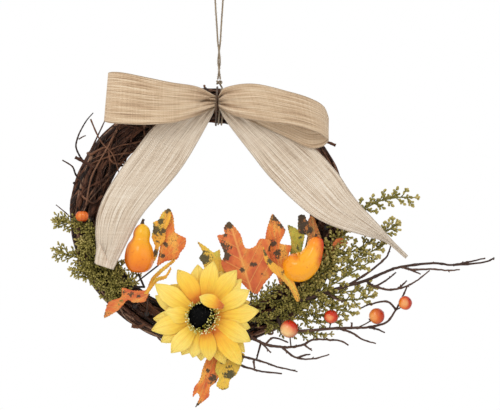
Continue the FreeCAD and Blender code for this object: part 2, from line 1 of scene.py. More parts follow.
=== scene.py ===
"""The looks of the harvest door wreath: vines, bow, sunflower, gourds, leaves, sprigs, twigs and berries."""
import math
import random
import bpy
from mathutils import Matrix, Vector, geometry, noise


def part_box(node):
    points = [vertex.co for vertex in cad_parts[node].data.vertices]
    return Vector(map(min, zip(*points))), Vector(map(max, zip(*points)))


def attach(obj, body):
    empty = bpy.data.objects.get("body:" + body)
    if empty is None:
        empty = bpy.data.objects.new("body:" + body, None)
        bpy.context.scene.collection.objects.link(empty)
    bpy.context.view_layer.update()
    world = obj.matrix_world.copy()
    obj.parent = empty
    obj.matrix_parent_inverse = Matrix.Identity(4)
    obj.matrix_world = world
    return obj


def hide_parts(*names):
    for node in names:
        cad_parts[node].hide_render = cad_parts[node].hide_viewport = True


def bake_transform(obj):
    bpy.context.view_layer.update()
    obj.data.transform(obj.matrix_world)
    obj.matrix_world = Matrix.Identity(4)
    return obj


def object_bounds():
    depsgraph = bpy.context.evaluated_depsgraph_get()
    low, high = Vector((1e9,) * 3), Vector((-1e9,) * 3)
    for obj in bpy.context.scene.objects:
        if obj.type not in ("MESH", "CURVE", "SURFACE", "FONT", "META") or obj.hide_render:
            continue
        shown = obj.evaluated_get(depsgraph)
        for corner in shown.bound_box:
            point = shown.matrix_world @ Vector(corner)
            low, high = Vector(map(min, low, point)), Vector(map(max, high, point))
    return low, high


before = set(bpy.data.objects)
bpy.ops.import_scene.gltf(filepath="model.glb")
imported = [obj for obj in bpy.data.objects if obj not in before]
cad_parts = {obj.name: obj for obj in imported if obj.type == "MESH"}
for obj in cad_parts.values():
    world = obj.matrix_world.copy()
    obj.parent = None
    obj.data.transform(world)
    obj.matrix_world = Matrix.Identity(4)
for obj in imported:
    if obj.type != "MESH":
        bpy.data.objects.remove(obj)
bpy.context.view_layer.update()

MM = 0.001

# ---- the ring, from the frame ------------------------------------------------------------------------------
ring_low, ring_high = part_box("vine_1")
core_low, core_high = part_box("vine_core")
RING = Vector(((ring_low[0] + ring_high[0]) / 2, (core_low[1] + core_high[1]) / 2,
               (ring_low[2] + ring_high[2]) / 2))
# sizes from here on are in mm
BUNDLE = 19.1                       # radius of the bundle of vines
# half the width and half the height of the bundle's middle line
MIDDLE_WIDTH = (ring_high[0] - ring_low[0]) / 2 / MM - BUNDLE
MIDDLE_HEIGHT = (ring_high[2] - ring_low[2]) / 2 / MM - BUNDLE
TAIL_DEPTH = -24.0
TAIL_LEAN = math.radians(6)
PINCH = (10.0, 127.0)
DAB_FACE = -BUNDLE - 1.7            # depth of the front of the glue dabs, where stems are held


def at(x, z, depth=0.0):
    """A point from the ring's centre in mm: x to the right, z up, depth negative in front of the ring."""
    return RING + Vector((x, depth, z)) * MM


def ring_point(degrees, outward=0.0, depth=0.0):
    """A point by its angle round the ring, counted from the right-hand side upwards."""
    turn = math.radians(degrees)
    return at((MIDDLE_WIDTH + outward) * math.cos(turn), (MIDDLE_HEIGHT + outward) * math.sin(turn), depth)


# ---- camera ------------------------------------------------------------------------------------------------
def make_camera():
    lens = 600.0                        # a long lens, so that depth hardly changes a size
    sensor = 36.0
    view_width = 0.550                  # the picture spans this much at the ring's plane
    view_centre = Vector((0.034, RING.y, -0.2532))
    data = bpy.data.cameras.new("camera")
    data.lens = lens
    data.sensor_width = sensor
    data.clip_end = 50
    camera = bpy.data.objects.new("camera", data)
    camera.location = view_centre - Vector((0, view_width * lens / sensor, 0))
    camera.rotation_euler = (math.radians(90), 0, 0)
    bpy.context.scene.collection.objects.link(camera)
    bpy.context.scene.camera = camera


make_camera()


# ---- mesh helpers ------------------------------------------------------------------------------------------
def make_object(name, verts, faces, material, coords=None, shade=None):
    """A mesh object. coords is a UV pair and shade a number from 0 to 1, one of each for each vertex."""
    mesh = bpy.data.meshes.new(name)
    mesh.from_pydata([tuple(v) for v in verts], [], faces)
    if coords:
        layer = mesh.uv_layers.new(name="surface")
        for loop in mesh.loops:
            layer.data[loop.index].uv = coords[loop.vertex_index]
    if shade:
        field = mesh.attributes.new("shade", "FLOAT", "POINT")
        field.data.foreach_set("value", shade)
    mesh.polygons.foreach_set("use_smooth", [True] * len(mesh.polygons))
    mesh.materials.append(material)
    piece = bpy.data.objects.new(name, mesh)
    bpy.context.scene.collection.objects.link(piece)
    return piece


def apply_modifiers(piece):
    """The piece's mesh becomes what its modifiers make of it."""
    graph = bpy.context.evaluated_depsgraph_get()
    mesh = bpy.data.meshes.new_from_object(piece.evaluated_get(graph), preserve_all_data_layers=True,
                                           depsgraph=graph)
    piece.modifiers.clear()
    piece.data = mesh


def thicken(piece, thickness, smooth_levels=0):
    if smooth_levels:
        piece.modifiers.new("smooth", "SUBSURF").levels = smooth_levels
    solid = piece.modifiers.new("thickness", "SOLIDIFY")
    solid.thickness = thickness
    solid.offset = 0
    apply_modifiers(piece)


def claim(piece, slot, *nodes, body="wreath"):
    """The piece rides a body and stands for CAD nodes, which are hidden. slot is not used."""
    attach(piece, body)
    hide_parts(*nodes)


def join_parts(parts):
    """Several (verts, faces, coords, shade) lists as one."""
    verts, faces, coords, shade = [], [], [], []
    for part_verts, part_faces, part_coords, part_shade in parts:
        base = len(verts)
        verts += part_verts
        faces += [tuple(i + base for i in face) for face in part_faces]
        coords += part_coords
        shade += part_shade
    return verts, faces, coords, shade


def make_piece(name, parts, material, slot, *nodes, body="wreath"):
    """One claimed piece from several parts."""
    verts, faces, coords, shade = join_parts(parts)
    piece = make_object(name, verts, faces, material, coords, shade)
    claim(piece, slot, *nodes, body=body)
    return piece


def curve_point(p0, p1, p2, p3, t):
    """The point a share t of the way from p1 to p2, on a Catmull-Rom curve through all four."""
    return 0.5 * ((2 * p1) + (p2 - p0) * t + (2 * p0 - 5 * p1 + 4 * p2 - p3) * t * t
                  + (3 * p1 - p0 - 3 * p2 + p3) * t * t * t)


def smooth_line(points, per_run):
    """A smooth line through the points, with per_run points from each one to the next."""
    line = []
    last = len(points) - 1
    for i in range(last):
        p0, p1, p2, p3 = points[max(i - 1, 0)], points[i], points[i + 1], points[min(i + 2, last)]
        for k in range(per_run):
            line.append(curve_point(p0, p1, p2, p3, k / per_run))
    line.append(points[last])
    return line


def tube(points, radii, sides=8, ridge=0.0, seed=0.0, shade=0.5, closed=False):
    """A tube along points, with a radius for each point. ridge roughens its section along its length."""
    count = len(points)
    verts, faces, coords = [], [], []
    heading = None
    side = None
    length = 0.0
    for i, point in enumerate(points):
        before = points[i - 1] if (i or closed) else point
        after = points[(i + 1) % count] if (i < count - 1 or closed) else point
        way = (after - before).normalized()
        if side is None:
            side = way.orthogonal().normalized()
        else:
            side = (heading.rotation_difference(way) @ side)
            side = (side - way * side.dot(way)).normalized()
        heading = way
        other = way.cross(side)
        if i:
            length += (point - points[i - 1]).length
        for k in range(sides):
            turn = 2 * math.pi * k / sides
            radius = radii[i]
            if ridge:
                ripple = noise.noise(Vector((math.cos(turn) * 1.6 + seed, math.sin(turn) * 1.6,
                                             length * 60)))
                radius *= 1 + ridge * ripple
            verts.append(point + (side * math.cos(turn) + other * math.sin(turn)) * radius)
            coords.append((length, 2 * k / sides if k <= sides / 2 else 2 - 2 * k / sides))
    rings = count if closed else count - 1
    for i in range(rings):
        a = i * sides
        b = ((i + 1) % count) * sides
        for k in range(sides):
            n = (k + 1) % sides
            faces.append((a + k, a + n, b + n, b + k))
    if not closed:
        faces.append(tuple(reversed(range(sides))))
        faces.append(tuple(range((count - 1) * sides, count * sides)))
    return verts, faces, coords, [shade] * len(verts)


def blob(centre, radius, axis=Vector((0, 0, 1)), squash=1.0, rings=8, sides=10, bumps=0.0, seed=0.0,
         shade=0.5):
    """A round form about an axis, squashed along it and roughened by bumps."""
    turn_to = Vector((0, 0, 1)).rotation_difference(axis.normalized())
    verts, coords = [], []
    for i in range(rings + 1):
        tilt = math.pi * i / rings
        for k in range(sides):
            turn = 2 * math.pi * k / sides
            way = Vector((math.sin(tilt) * math.cos(turn), math.sin(tilt) * math.sin(turn), math.cos(tilt)))
            size = radius * (1 + bumps * noise.noise(way * 2.3 + Vector((seed, 0, 0))))
            spot = Vector((way.x * size, way.y * size, way.z * size * squash))
            verts.append(centre + turn_to @ spot)
            coords.append((k / sides, 1 - i / rings))
    return verts, round_faces(rings, sides), coords, [shade] * len(verts)


def round_faces(rings, sides):
    """Faces of a form made of rings of points, from its first end to its last."""
    faces = []
    for i in range(rings):
        for k in range(sides):
            n = (k + 1) % sides
            faces.append((i * sides + k, (i + 1) * sides + k, (i + 1) * sides + n, i * sides + n))
    return faces


def grid(rows, across):
    """Faces of a grid with that many rows and points across."""
    faces = []
    for i in range(rows - 1):
        for k in range(across - 1):
            a = i * across + k
            faces.append((a, a + 1, a + across + 1, a + across))
    return faces


def distances(points):
    """How far along their line each of the points is."""
    places = [0.0]
    for a, b in zip(points, points[1:]):
        places.append(places[-1] + (b - a).length)
    return places


def soft(place, centre, width):
    """1 at the centre, falling smoothly to almost 0 at twice the width from it."""
    return math.exp(-((place - centre) / width) ** 2)


def track(pairs):
    """A smooth function through (place, value) pairs, flat beyond its ends."""
    def value(place):
        if place <= pairs[0][0]:
            return pairs[0][1]
        for i in range(len(pairs) - 1):
            (a, va), (b, vb) = pairs[i], pairs[i + 1]
            if place <= b:
                before = pairs[max(i - 1, 0)]
                after = pairs[min(i + 2, len(pairs) - 1)]
                slope_a = (vb - before[1]) / (b - before[0])
                slope_b = (after[1] - va) / (after[0] - a)
                t = (place - a) / (b - a)
                span = b - a
                return ((2 * t**3 - 3 * t**2 + 1) * va + (t**3 - 2 * t**2 + t) * span * slope_a
                        + (-2 * t**3 + 3 * t**2) * vb + (t**3 - t**2) * span * slope_b)
        return pairs[-1][1]
    return value


# ---- material helpers --------------------------------------------------------------------------------------
def rgb(code):
    """A linear colour from a hex code."""
    values = [int(code[i:i + 2], 16) / 255 for i in (0, 2, 4)]
    return tuple(v / 12.92 if v <= 0.04045 else ((v + 0.055) / 1.055) ** 2.4 for v in values) + (1.0,)


class Nodes:
    """A material's node tree, with short calls to fill it."""

    def __init__(self, name):
        self.material = bpy.data.materials.new(name)
        self.material.use_nodes = True
        self.tree = self.material.node_tree
        self.shader = self.tree.nodes["Principled BSDF"]

    def add(self, kind, inputs=None, **settings):
        made = self.tree.nodes.new(kind)
        for key, value in settings.items():
            setattr(made, key, value)
        for key, value in (inputs or {}).items():
            self.put(made, key, value)
        return made

    def put(self, made, key, value):
        socket = made.inputs[key]
        if isinstance(value, bpy.types.NodeSocket):
            self.tree.links.new(value, socket)
        else:
            socket.default_value = value

    def math(self, operation, a, b=0.0):
        return self.add("ShaderNodeMath", {0: a, 1: b}, operation=operation).outputs[0]

    def times(self, a, b):
        return self.math("MULTIPLY", a, b)

    def plus(self, a, b):
        return self.math("ADD", a, b)

    def minus(self, a, b):
        return self.math("SUBTRACT", a, b)

    def uv_axes(self):
        """The UV map's two coordinates."""
        source = self.add("ShaderNodeUVMap", uv_map="surface").outputs[0]
        split = self.add("ShaderNodeSeparateXYZ", {0: source})
        return split.outputs[0], split.outputs[1]

    def uv(self, scale=(1, 1, 1)):
        source = self.add("ShaderNodeUVMap", uv_map="surface").outputs[0]
        return self.add("ShaderNodeMapping", {"Vector": source, "Scale": scale}).outputs[0]

    def object(self, scale=(1, 1, 1)):
        source = self.add("ShaderNodeTexCoord").outputs["Object"]
        return self.add("ShaderNodeMapping", {"Vector": source, "Scale": scale}).outputs[0]

    def shade(self):
        return self.add("ShaderNodeAttribute", attribute_name="shade").outputs["Fac"]

    def noise(self, vector, scale, detail=3.0, rough=0.55):
        return self.add(
            "ShaderNodeTexNoise", {"Vector": vector, "Scale": scale, "Detail": detail,
                                   "Roughness": rough}).outputs["Fac"]

    def ramp(self, factor, stops):
        made = self.add("ShaderNodeValToRGB", {"Fac": factor})
        points = made.color_ramp.elements
        while len(points) < len(stops):
            points.new(0.5)
        for point, (place, code) in zip(points, stops):
            point.position = place
            point.color = rgb(code)
        return made.outputs["Color"]

    def level(self, factor, low, high, to_low=0.0, to_high=1.0):
        return self.add(
            "ShaderNodeMapRange",
            {"Value": factor, "From Min": low, "From Max": high, "To Min": to_low,
             "To Max": to_high}).outputs[0]

    def mix(self, factor, a, b):
        made = self.add("ShaderNodeMix", data_type="RGBA")
        self.put(made, "Factor", factor)
        self.put(made, 6, a)
        self.put(made, 7, b)
        return made.outputs[2]

    def bump(self, height, distance, strength=1.0, under=None):
        made = self.add("ShaderNodeBump", {"Height": height, "Distance": distance, "Strength": strength})
        if under is not None:
            self.put(made, "Normal", under)
        return made.outputs[0]

    def finish(self, colour, roughness, normal=None, **plain):
        self.put(self.shader, "Base Color", colour)
        self.put(self.shader, "Roughness", roughness)
        if normal is not None:
            self.put(self.shader, "Normal", normal)
        for key, value in plain.items():
            self.shader.inputs[key.replace("_", " ")].default_value = value
        return self.material


# ---- materials ---------------------------------------------------------------------------------------------
def bark_material():
    n = Nodes("bark")
    streak = n.noise(n.uv((70, 7, 1)), 1.0, 5.0, 0.65)
    patch = n.noise(n.object(), 60, 3.0)
    tone = n.plus(n.times(streak, 0.60), n.times(n.shade(), 0.46))
    colour = n.ramp(tone, [(0.28, "0b0807"), (0.42, "2b1a14"), (0.54, "573526"), (0.66, "835840"),
                           (0.82, "b3937b")])
    colour = n.mix(n.level(patch, 0.50, 0.66, 0.0, 0.75), colour, rgb("171210"))
    peeled = n.noise(n.uv((55, 9, 1)), 1.7, 4.0, 0.7)
    colour = n.mix(n.level(peeled, 0.60, 0.68, 0.0, 0.7), colour, rgb("c0aa98"))
    fine = n.noise(n.uv((240, 22, 1)), 1.0, 4.0, 0.7)
    normal = n.bump(fine, 0.0007, 1.0, n.bump(streak, 0.0016, 1.0))
    return n.finish(colour, n.level(streak, 0.3, 0.7, 0.58, 0.85), normal, Specular_IOR_Level=0.2)


def jute_material():
    n = Nodes("jute")
    fibre = n.noise(n.uv((260, 6, 1)), 1.0, 4.0, 0.7)
    patch = n.noise(n.object(), 240, 3.0)
    colour = n.ramp(n.plus(n.times(fibre, 0.6), n.times(patch, 0.4)),
                    [(0.30, "5e5140"), (0.48, "877660"), (0.62, "a8977e"), (0.78, "c4b69e")])
    return n.finish(colour, 0.9, n.bump(fibre, 0.0003, 0.9), Sheen_Weight=0.25, Sheen_Roughness=0.5)


def burlap_material(name, tints):
    """Loose plain weave. The UV map is in metres: along the strip, then across it."""
    n = Nodes(name)
    warp_pitch = 0.0018
    weft_pitch = 0.0016
    source = n.add("ShaderNodeUVMap", uv_map="surface").outputs[0]
    wander = n.add("ShaderNodeTexNoise", {"Vector": source, "Scale": 55.0, "Detail": 2.0}).outputs["Color"]
    offset = n.add("ShaderNodeVectorMath", {0: wander, 1: (0.0016, 0.0016, 0.0)},
                   operation="MULTIPLY").outputs[0]
    placed = n.add("ShaderNodeVectorMath", {0: source, 1: offset}, operation="ADD").outputs[0]
    split = n.add("ShaderNodeSeparateXYZ", {0: placed})
    run, cross = split.outputs[0], split.outputs[1]
    warp = n.math("SINE", n.times(cross, 2 * math.pi / warp_pitch))
    weft = n.math("SINE", n.times(run, 2 * math.pi / weft_pitch))
    half_warp = n.math("SINE", n.times(cross, math.pi / warp_pitch))
    half_weft = n.math("SINE", n.times(run, math.pi / weft_pitch))
    over = n.level(n.times(half_warp, half_weft), -0.4, 0.4)
    warp_high = n.level(warp, -1.0, 1.0)
    weft_high = n.level(weft, -1.0, 1.0)
    height = n.add("ShaderNodeMix", {0: over, 2: n.times(weft_high, 0.6), 3: warp_high}).outputs[0]
    slub = n.noise(n.add("ShaderNodeMapping", {"Vector": placed, "Scale": (16, 620, 1)}).outputs[0], 1.0,
                   4.0, 0.6)
    cross_slub = n.noise(n.add("ShaderNodeMapping", {"Vector": placed, "Scale": (430, 16, 1)}).outputs[0],
                         1.0, 3.0, 0.6)
    cloud = n.noise(n.object(), 18, 2.0)
    tone = n.plus(n.times(slub, 0.86), n.times(cross_slub, 0.14))
    colour = n.ramp(tone, [(0.36, tints[0]), (0.45, tints[1]), (0.54, tints[2]), (0.64, tints[3])])
    colour = n.mix(n.level(cloud, 0.35, 0.65, 0.0, 0.35), colour, rgb(tints[2]))
    gap = n.math("MAXIMUM", warp_high, n.times(weft_high, 0.9))
    hole = n.level(gap, 0.10, 0.45, 0.55, 0.0)
    open_weave = n.times(hole, n.level(slub, 0.62, 0.40, 0.55, 1.0))
    colour = n.mix(open_weave, colour, rgb("80664a"))
    normal = n.bump(height, 0.0006, 0.8, n.bump(slub, 0.0005, 0.5))
    return n.finish(colour, 0.92, normal, Sheen_Weight=0.15, Sheen_Roughness=0.6)


def petal_material():
    """UV: 0 at the root to 1 at the tip, then 0 to 1 across."""
    n = Nodes("petal")
    root, across = n.uv_axes()
    vein = n.noise(n.uv((1.5, 26, 1)), 1.0, 3.0, 0.5)
    mottled = n.noise(n.object(), 90, 3.0)
    place = n.plus(root, n.times(n.minus(mottled, 0.5), 0.30))
    place = n.plus(place, n.times(n.minus(n.shade(), 0.5), 0.42))
    colour = n.ramp(place, [(0.04, "d96a08"), (0.15, "ee9614"), (0.28, "f3b424"), (0.50, "f4c83a"),
                            (0.90, "f8dd6c")])
    colour = n.mix(n.level(vein, 0.48, 0.66, 0.0, 0.45), colour, rgb("dd9a1c"))
    weave = n.noise(n.object(), 1500, 2.0)
    normal = n.bump(weave, 0.00012, 0.5, n.bump(vein, 0.0011, 0.8))
    middle = n.math("ABSOLUTE", n.minus(across, 0.5))
    colour = n.mix(n.level(middle, 0.0, 0.03, 0.4, 0.0), colour, rgb("e7a01c"))
    return n.finish(colour, 0.62, normal, Sheen_Weight=0.2, Subsurface_Weight=0.06, Subsurface_Scale=0.002)


def leaf_material(name, base, patch, edge, blotch, seed, amount):
    """Printed leaf fabric. UV: along the midrib from 0 to 1, then across from -1 to 1."""
    n = Nodes(name)
    source = n.add("ShaderNodeUVMap", uv_map="surface").outputs[0]
    split = n.add("ShaderNodeSeparateXYZ", {0: source})
    along, across = split.outputs[0], split.outputs[1]
    moved = n.add("ShaderNodeMapping", {"Vector": source, "Location": (seed, seed * 0.7, 0),
                                        "Scale": (2.2, 1.5, 1)})
    broad = n.noise(moved.outputs[0], 1.3, 3.0, 0.6)
    colour = n.ramp(broad, [(0.36, base), (0.50, patch), (0.64, edge)])
    side = n.math("ABSOLUTE", across)
    slant = n.minus(n.times(along, 34.0), n.times(side, 17.0))
    vein = n.level(n.math("SINE", slant), 0.90, 1.0)
    rib = n.level(side, 0.0, 0.05, 1.0, 0.0)
    lines = n.math("MAXIMUM", n.times(vein, 0.7), rib)
    colour = n.mix(n.times(lines, 0.55), colour, rgb("f3b861"))
    ragged = n.noise(n.object(), 170, 5.0, 0.8)
    uneven = n.times(n.minus(ragged, 0.5), n.level(n.shade(), 0.0, 0.2, 0.0, 4.0))
    printed = n.level(n.plus(n.shade(), uneven), 0.38, 0.52)
    tip = n.level(along, 0.80, 1.0, 0.0, 0.14)
    speckle = n.noise(n.object(), 700, 4.0, 0.7)
    thick = n.plus(n.times(broad, 0.35), n.plus(speckle, tip))
    dark = n.math("MAXIMUM", printed, n.level(thick, amount, amount + 0.07, 0.0, 0.85))
    colour = n.mix(n.times(dark, 0.93), colour, rgb(blotch))
    cloth = n.noise(n.object(), 1300, 2.0)
    crease = n.noise(n.object(), 90, 3.0)
    normal = n.bump(crease, 0.004, 0.6, n.bump(lines, 0.0006, 0.8, n.bump(cloth, 0.00012, 0.6)))
    return n.finish(colour, 0.66, normal, Sheen_Weight=0.15)


def gourd_material(name, stops, blush):
    """Glossy lacquered skin. UV: 0 at the bottom to 1 at the top. The shade is 1 on its blushed side."""
    n = Nodes(name)
    along, _ = n.uv_axes()
    patch = n.noise(n.object(), 38, 3.0, 0.6)
    uneven = n.minus(patch, 0.5)
    colour = n.ramp(n.plus(along, n.times(uneven, 0.35)), stops)
    side = n.plus(n.plus(n.shade(), n.times(along, 0.22)), uneven)
    colour = n.mix(n.level(side, 0.66, 1.05, 0.0, 0.92), colour, rgb(blush))
    freckle = n.noise(n.object(), 420, 2.0)
    colour = n.mix(n.level(freckle, 0.60, 0.72, 0.0, 0.35), colour, rgb("b8480e"))
    normal = n.bump(n.noise(n.object(), 160, 3.0), 0.0004, 0.35)
    return n.finish(colour, n.level(patch, 0.3, 0.7, 0.24, 0.38), normal, Coat_Weight=0.5,
                    Coat_Roughness=0.22, Specular_IOR_Level=0.2)


def berry_material(name, low, mid, high):
    """Lacquered skin. UV: 0 to 1 towards the blushed end. The shade is 1 in the middle of the side that faces
    the camera and the light: a highlight is painted there, and shade is painted towards the rim.
    """
    n = Nodes(name)
    _, to_end = n.uv_axes()
    blush = n.noise(n.object(), 70, 3.0, 0.6)
    place = n.plus(n.times(to_end, 0.8), n.times(blush, 0.4))
    colour = n.ramp(place, [(0.30, low), (0.55, mid), (0.85, high)])
    front = n.plus(n.shade(), n.times(n.minus(blush, 0.5), 0.5))
    # painted shade: the skin turns dark red towards the rim, where it turns away from the camera
    colour = n.mix(n.level(front, 0.60, 0.94, 0.9, 0.0), colour, rgb("9c2408"))
    # painted highlight: pale cream in the middle of the front
    colour = n.mix(n.level(front, 0.90, 1.06, 0.0, 0.45), colour, rgb("f4cf86"))
    speck = n.noise(n.object(), 900, 2.0)
    colour = n.mix(n.level(speck, 0.64, 0.74, 0.0, 0.5), colour, rgb("a52c10"))
    normal = n.bump(n.noise(n.object(), 300, 2.0), 0.0002, 0.3)
    return n.finish(colour, n.level(blush, 0.3, 0.7, 0.16, 0.30), normal, Coat_Weight=0.15,
                    Coat_Roughness=0.12, Specular_IOR_Level=0.3)


def moulded_material(name, stops, roughness, grain=400, shade_weight=0.5, depth=0.0002, gloss=0.3):
    """Moulded plastic, in tones that differ from piece to piece and over each piece."""
    n = Nodes(name)
    patch = n.noise(n.object(), 130, 3.0)
    tone = n.plus(n.times(n.shade(), shade_weight), n.times(patch, 1 - shade_weight))
    colour = n.ramp(tone, stops)
    fine = n.noise(n.object(), grain, 3.0)
    rough = n.level(fine, 0.3, 0.7, roughness - 0.1, roughness + 0.1)
    return n.finish(colour, rough, n.bump(fine, depth, 0.6), Specular_IOR_Level=gloss)


def floor_material():
    n = Nodes("floor_paint")
    fine = n.noise(n.object(), 6, 3.0)
    return n.finish(n.ramp(fine, [(0.3, "f1efec"), (0.7, "f7f5f2")]), 0.8, n.bump(fine, 0.002, 0.1))


BARK = bark_material()
JUTE = jute_material()
BURLAP = burlap_material("burlap", ["8a6c50", "c0a07e", "d9bf9e", "ecdabf"])
BURLAP_PALE = burlap_material("burlap_pale", ["98826c", "ccb8a0", "dfcfba", "eee4d5"])
PETAL = petal_material()
# the lightest tone is a painted glint, worn by the few florets whose shade is near 1
SEED = moulded_material("seed_dark", [(0.3, "020202"), (0.6, "080808"), (0.85, "45423a")], 0.45, 700,
                        gloss=0.1)
STAMEN = moulded_material("stamen", [(0.2, "6f6a1d"), (0.45, "b5a83e"), (0.7, "e5dc8e"), (0.9, "f4efc6")],
                          0.6, 900, 0.8)
GREEN = moulded_material("stem_green", [(0.25, "39441c"), (0.5, "5a6a2f"), (0.75, "7d8a48")], 0.55)
OLIVE = moulded_material(
    "sprig_olive", [(0.15, "413d19"), (0.35, "6b6429"), (0.55, "8f8440"), (0.72, "ac9d5a"), (0.9, "c8b277")],
    0.55, 500, 0.72)
TWIG = moulded_material(
    "twig_brown", [(0.2, "1d130f"), (0.42, "3b2820"), (0.65, "5d4336"), (0.85, "86695a")], 0.7, 600, 0.5,
    0.0003)
STALK = moulded_material("stalk_brown", [(0.2, "1d130d"), (0.5, "3f2b1c"), (0.8, "6b4d33")], 0.6)
WIRE = moulded_material("tie_wire", [(0.2, "2c1f17"), (0.5, "4f3b2b"), (0.8, "70563f")], 0.45, 800)
GLUE = moulded_material("glue", [(0.2, "1f1510"), (0.5, "33231a"), (0.8, "4a3424")], 0.35, 200)


# ---- twine hanger ------------------------------------------------------------------------------------------
TWINE = 2.0 * MM
TWINE_LAY = 8.5 * MM      # one ply winds once round the twine in this length
# up the left strand, over the hook and down the right one, in mm from the hook
TWINE_ROUTE = [
    (-1.4, 0.0, -115.2), (0.0, 1.4, -105.0), (1.4, 0.0, -95.0), (0.0, -1.4, -85.0), (-1.5, 0.0, -74.0),
    (-2.3, 0.0, -58.0), (-3.4, 0.0, -42.0), (-4.4, 0.0, -26.0), (-5.2, 0.0, -11.5), (-5.5, 0.0, 0.0),
    (5.5, 0.0, 0.0), (5.2, 0.0, -11.5), (4.4, 0.0, -26.0), (3.4, 0.0, -42.0), (2.3, 0.0, -58.0),
    (1.5, 0.0, -74.0), (0.0, 1.4, -85.0), (-1.4, 0.0, -95.0), (0.0, -1.4, -105.0), (1.4, 0.0, -115.2),
]


def read_route(route):
    """The points of the smooth curve that has the route's points as its control points."""
    data = bpy.data.curves.new("route", "CURVE")
    data.dimensions = "3D"
    data.resolution_u = 10
    spline = data.splines.new("NURBS")
    spline.points.add(len(route) - 1)
    for point, place in zip(spline.points, route):
        point.co = (*[c * MM for c in place], 1)
    spline.order_u = 3
    spline.use_endpoint_u = True
    holder = bpy.data.objects.new("route", data)
    bpy.context.scene.collection.objects.link(holder)
    bpy.context.view_layer.update()
    graph = bpy.context.evaluated_depsgraph_get()
    mesh = bpy.data.meshes.new_from_object(holder.evaluated_get(graph))
    points = [v.co.copy() for v in mesh.vertices]
    bpy.data.objects.remove(holder)
    return points


def plies(points, diameter, lay, seed, closed=False):
    """A rope of three plies round a line: each ply winds once in every lay of length."""
    parts = []
    ply = diameter * 0.27
    for k in range(3):
        strand = []
        side = None
        heading = None
        length = 0.0
        count = len(points)
        total = sum((points[(i + 1) % count] - points[i]).length
                    for i in range(count if closed else count - 1))
        turns = round(total / lay) if closed else total / lay
        for i, point in enumerate(points):
            before = points[i - 1] if (i or closed) else point
            after = points[(i + 1) % count] if (i < count - 1 or closed) else point
            way = (after - before).normalized()
            side = way.orthogonal().normalized() if side is None else heading.rotation_difference(way) @ side
            side = (side - way * side.dot(way)).normalized()
            heading = way
            if i:
                length += (point - points[i - 1]).length
            turn = 2 * math.pi * (k / 3 + turns * length / total)
            out = (side * math.cos(turn) + way.cross(side) * math.sin(turn)) * (diameter / 2 - ply)
            strand.append(point + out)
        radii = [ply * (1.04 + 0.12 * noise.noise(Vector((i * 0.31, k * 7.7, seed)))) for i in range(count)]
        parts.append(tube(strand, radii, 7, 0.12, seed + k, 0.5, closed))
    return parts


def fuzz(points, diameter, count, reach, seed):
    """Stray fibres that stand off a twine."""
    rng = random.Random(seed)
    parts = []
    for _ in range(count):
        i = rng.randrange(2, len(points) - 3)
        way = (points[i + 1] - points[i - 1]).normalized()
        out = way.orthogonal().normalized()
        out.rotate(Matrix.Rotation(rng.uniform(0, 2 * math.pi), 3, way))
        root = points[i] + out * diameter * 0.38
        lean = way * rng.uniform(-1, 1)
        length = reach * rng.uniform(0.5, 1.0)
        tip = root + (out * 0.6 + lean).normalized() * length
        middle = (root + tip) / 2 + out * length * 0.15
        parts.append(tube([root, middle, tip], [0.00009, 0.00007, 0.00004], 4))
    return parts


def dense(points, step):
    """More points on the same line, no further apart than step."""
    line = [points[0]]
    for a, b in zip(points, points[1:]):
        pieces = max(1, math.ceil((b - a).length / step))
        line += [a.lerp(b, k / pieces) for k in range(1, pieces + 1)]
    return line


def make_twine():
    path = read_route(TWINE_ROUTE)
    fine = dense(path, 0.0012)
    parts = plies(fine, TWINE, TWINE_LAY, 1.0) + fuzz(fine, TWINE, 200, 0.0022, 4)
    loop = make_piece("twine_hanger", parts, JUTE, "jute", "twine_loop", body="hanger")


make_twine()


def make_knot():
    """The knot that ties the loop to the turns of twine round the ring."""
    low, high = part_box("twine_knot")
    centre = (Vector(low) + Vector(high)) / 2
    line = []
    for k in range(60):
        turn = 2 * math.pi * k / 60
        swing = 2.2 + 0.9 * math.cos(3 * turn)
        line.append(centre + Vector(
            (swing * math.cos(2 * turn), swing * math.sin(2 * turn), 1.7 * math.sin(3 * turn))) * MM)
    parts = plies(line, TWINE * 0.85, 0.007, 5.0, closed=True)
    make_piece("twine_knot_rope", parts, JUTE, "jute", "twine_knot", body="knot")


def band_line(degrees, outside, steps, wobble=0.0, seed=0.0):
    """A closed line once round the bundle of vines, this far in mm outside the bundle."""
    line = []
    for k in range(steps):
        turn = 2 * math.pi * k / steps
        drift = wobble * noise.noise(Vector((math.cos(turn) * 1.5, math.sin(turn) * 1.5, seed)))
        radius = BUNDLE + outside + drift * 0.25
        line.append(ring_point(degrees + drift, radius * math.cos(turn), radius * math.sin(turn)))
    return line


WRAP_TURNS = (84.2, 82.4)     # where the twine goes round the ring, in degrees


def make_wrap():
    """Two turns of twine round the ring, and the short end that rises to the knot."""
    parts = []
    for degrees in WRAP_TURNS:
        parts += plies(band_line(degrees, 0.3 + TWINE / MM / 2, 110), TWINE, TWINE_LAY, degrees, closed=True)
    knot_low, knot_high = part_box("twine_knot")
    knot = (Vector(knot_low) + Vector(knot_high)) / 2
    foot = ring_point(WRAP_TURNS[0], BUNDLE + 1)
    parts += plies(dense([foot, foot.lerp(knot, 0.62)], 0.0006), TWINE, TWINE_LAY, 9.0)
    make_piece("twine_wrap_rope", parts, JUTE, "jute", "twine_wrap")


make_knot()
make_wrap()


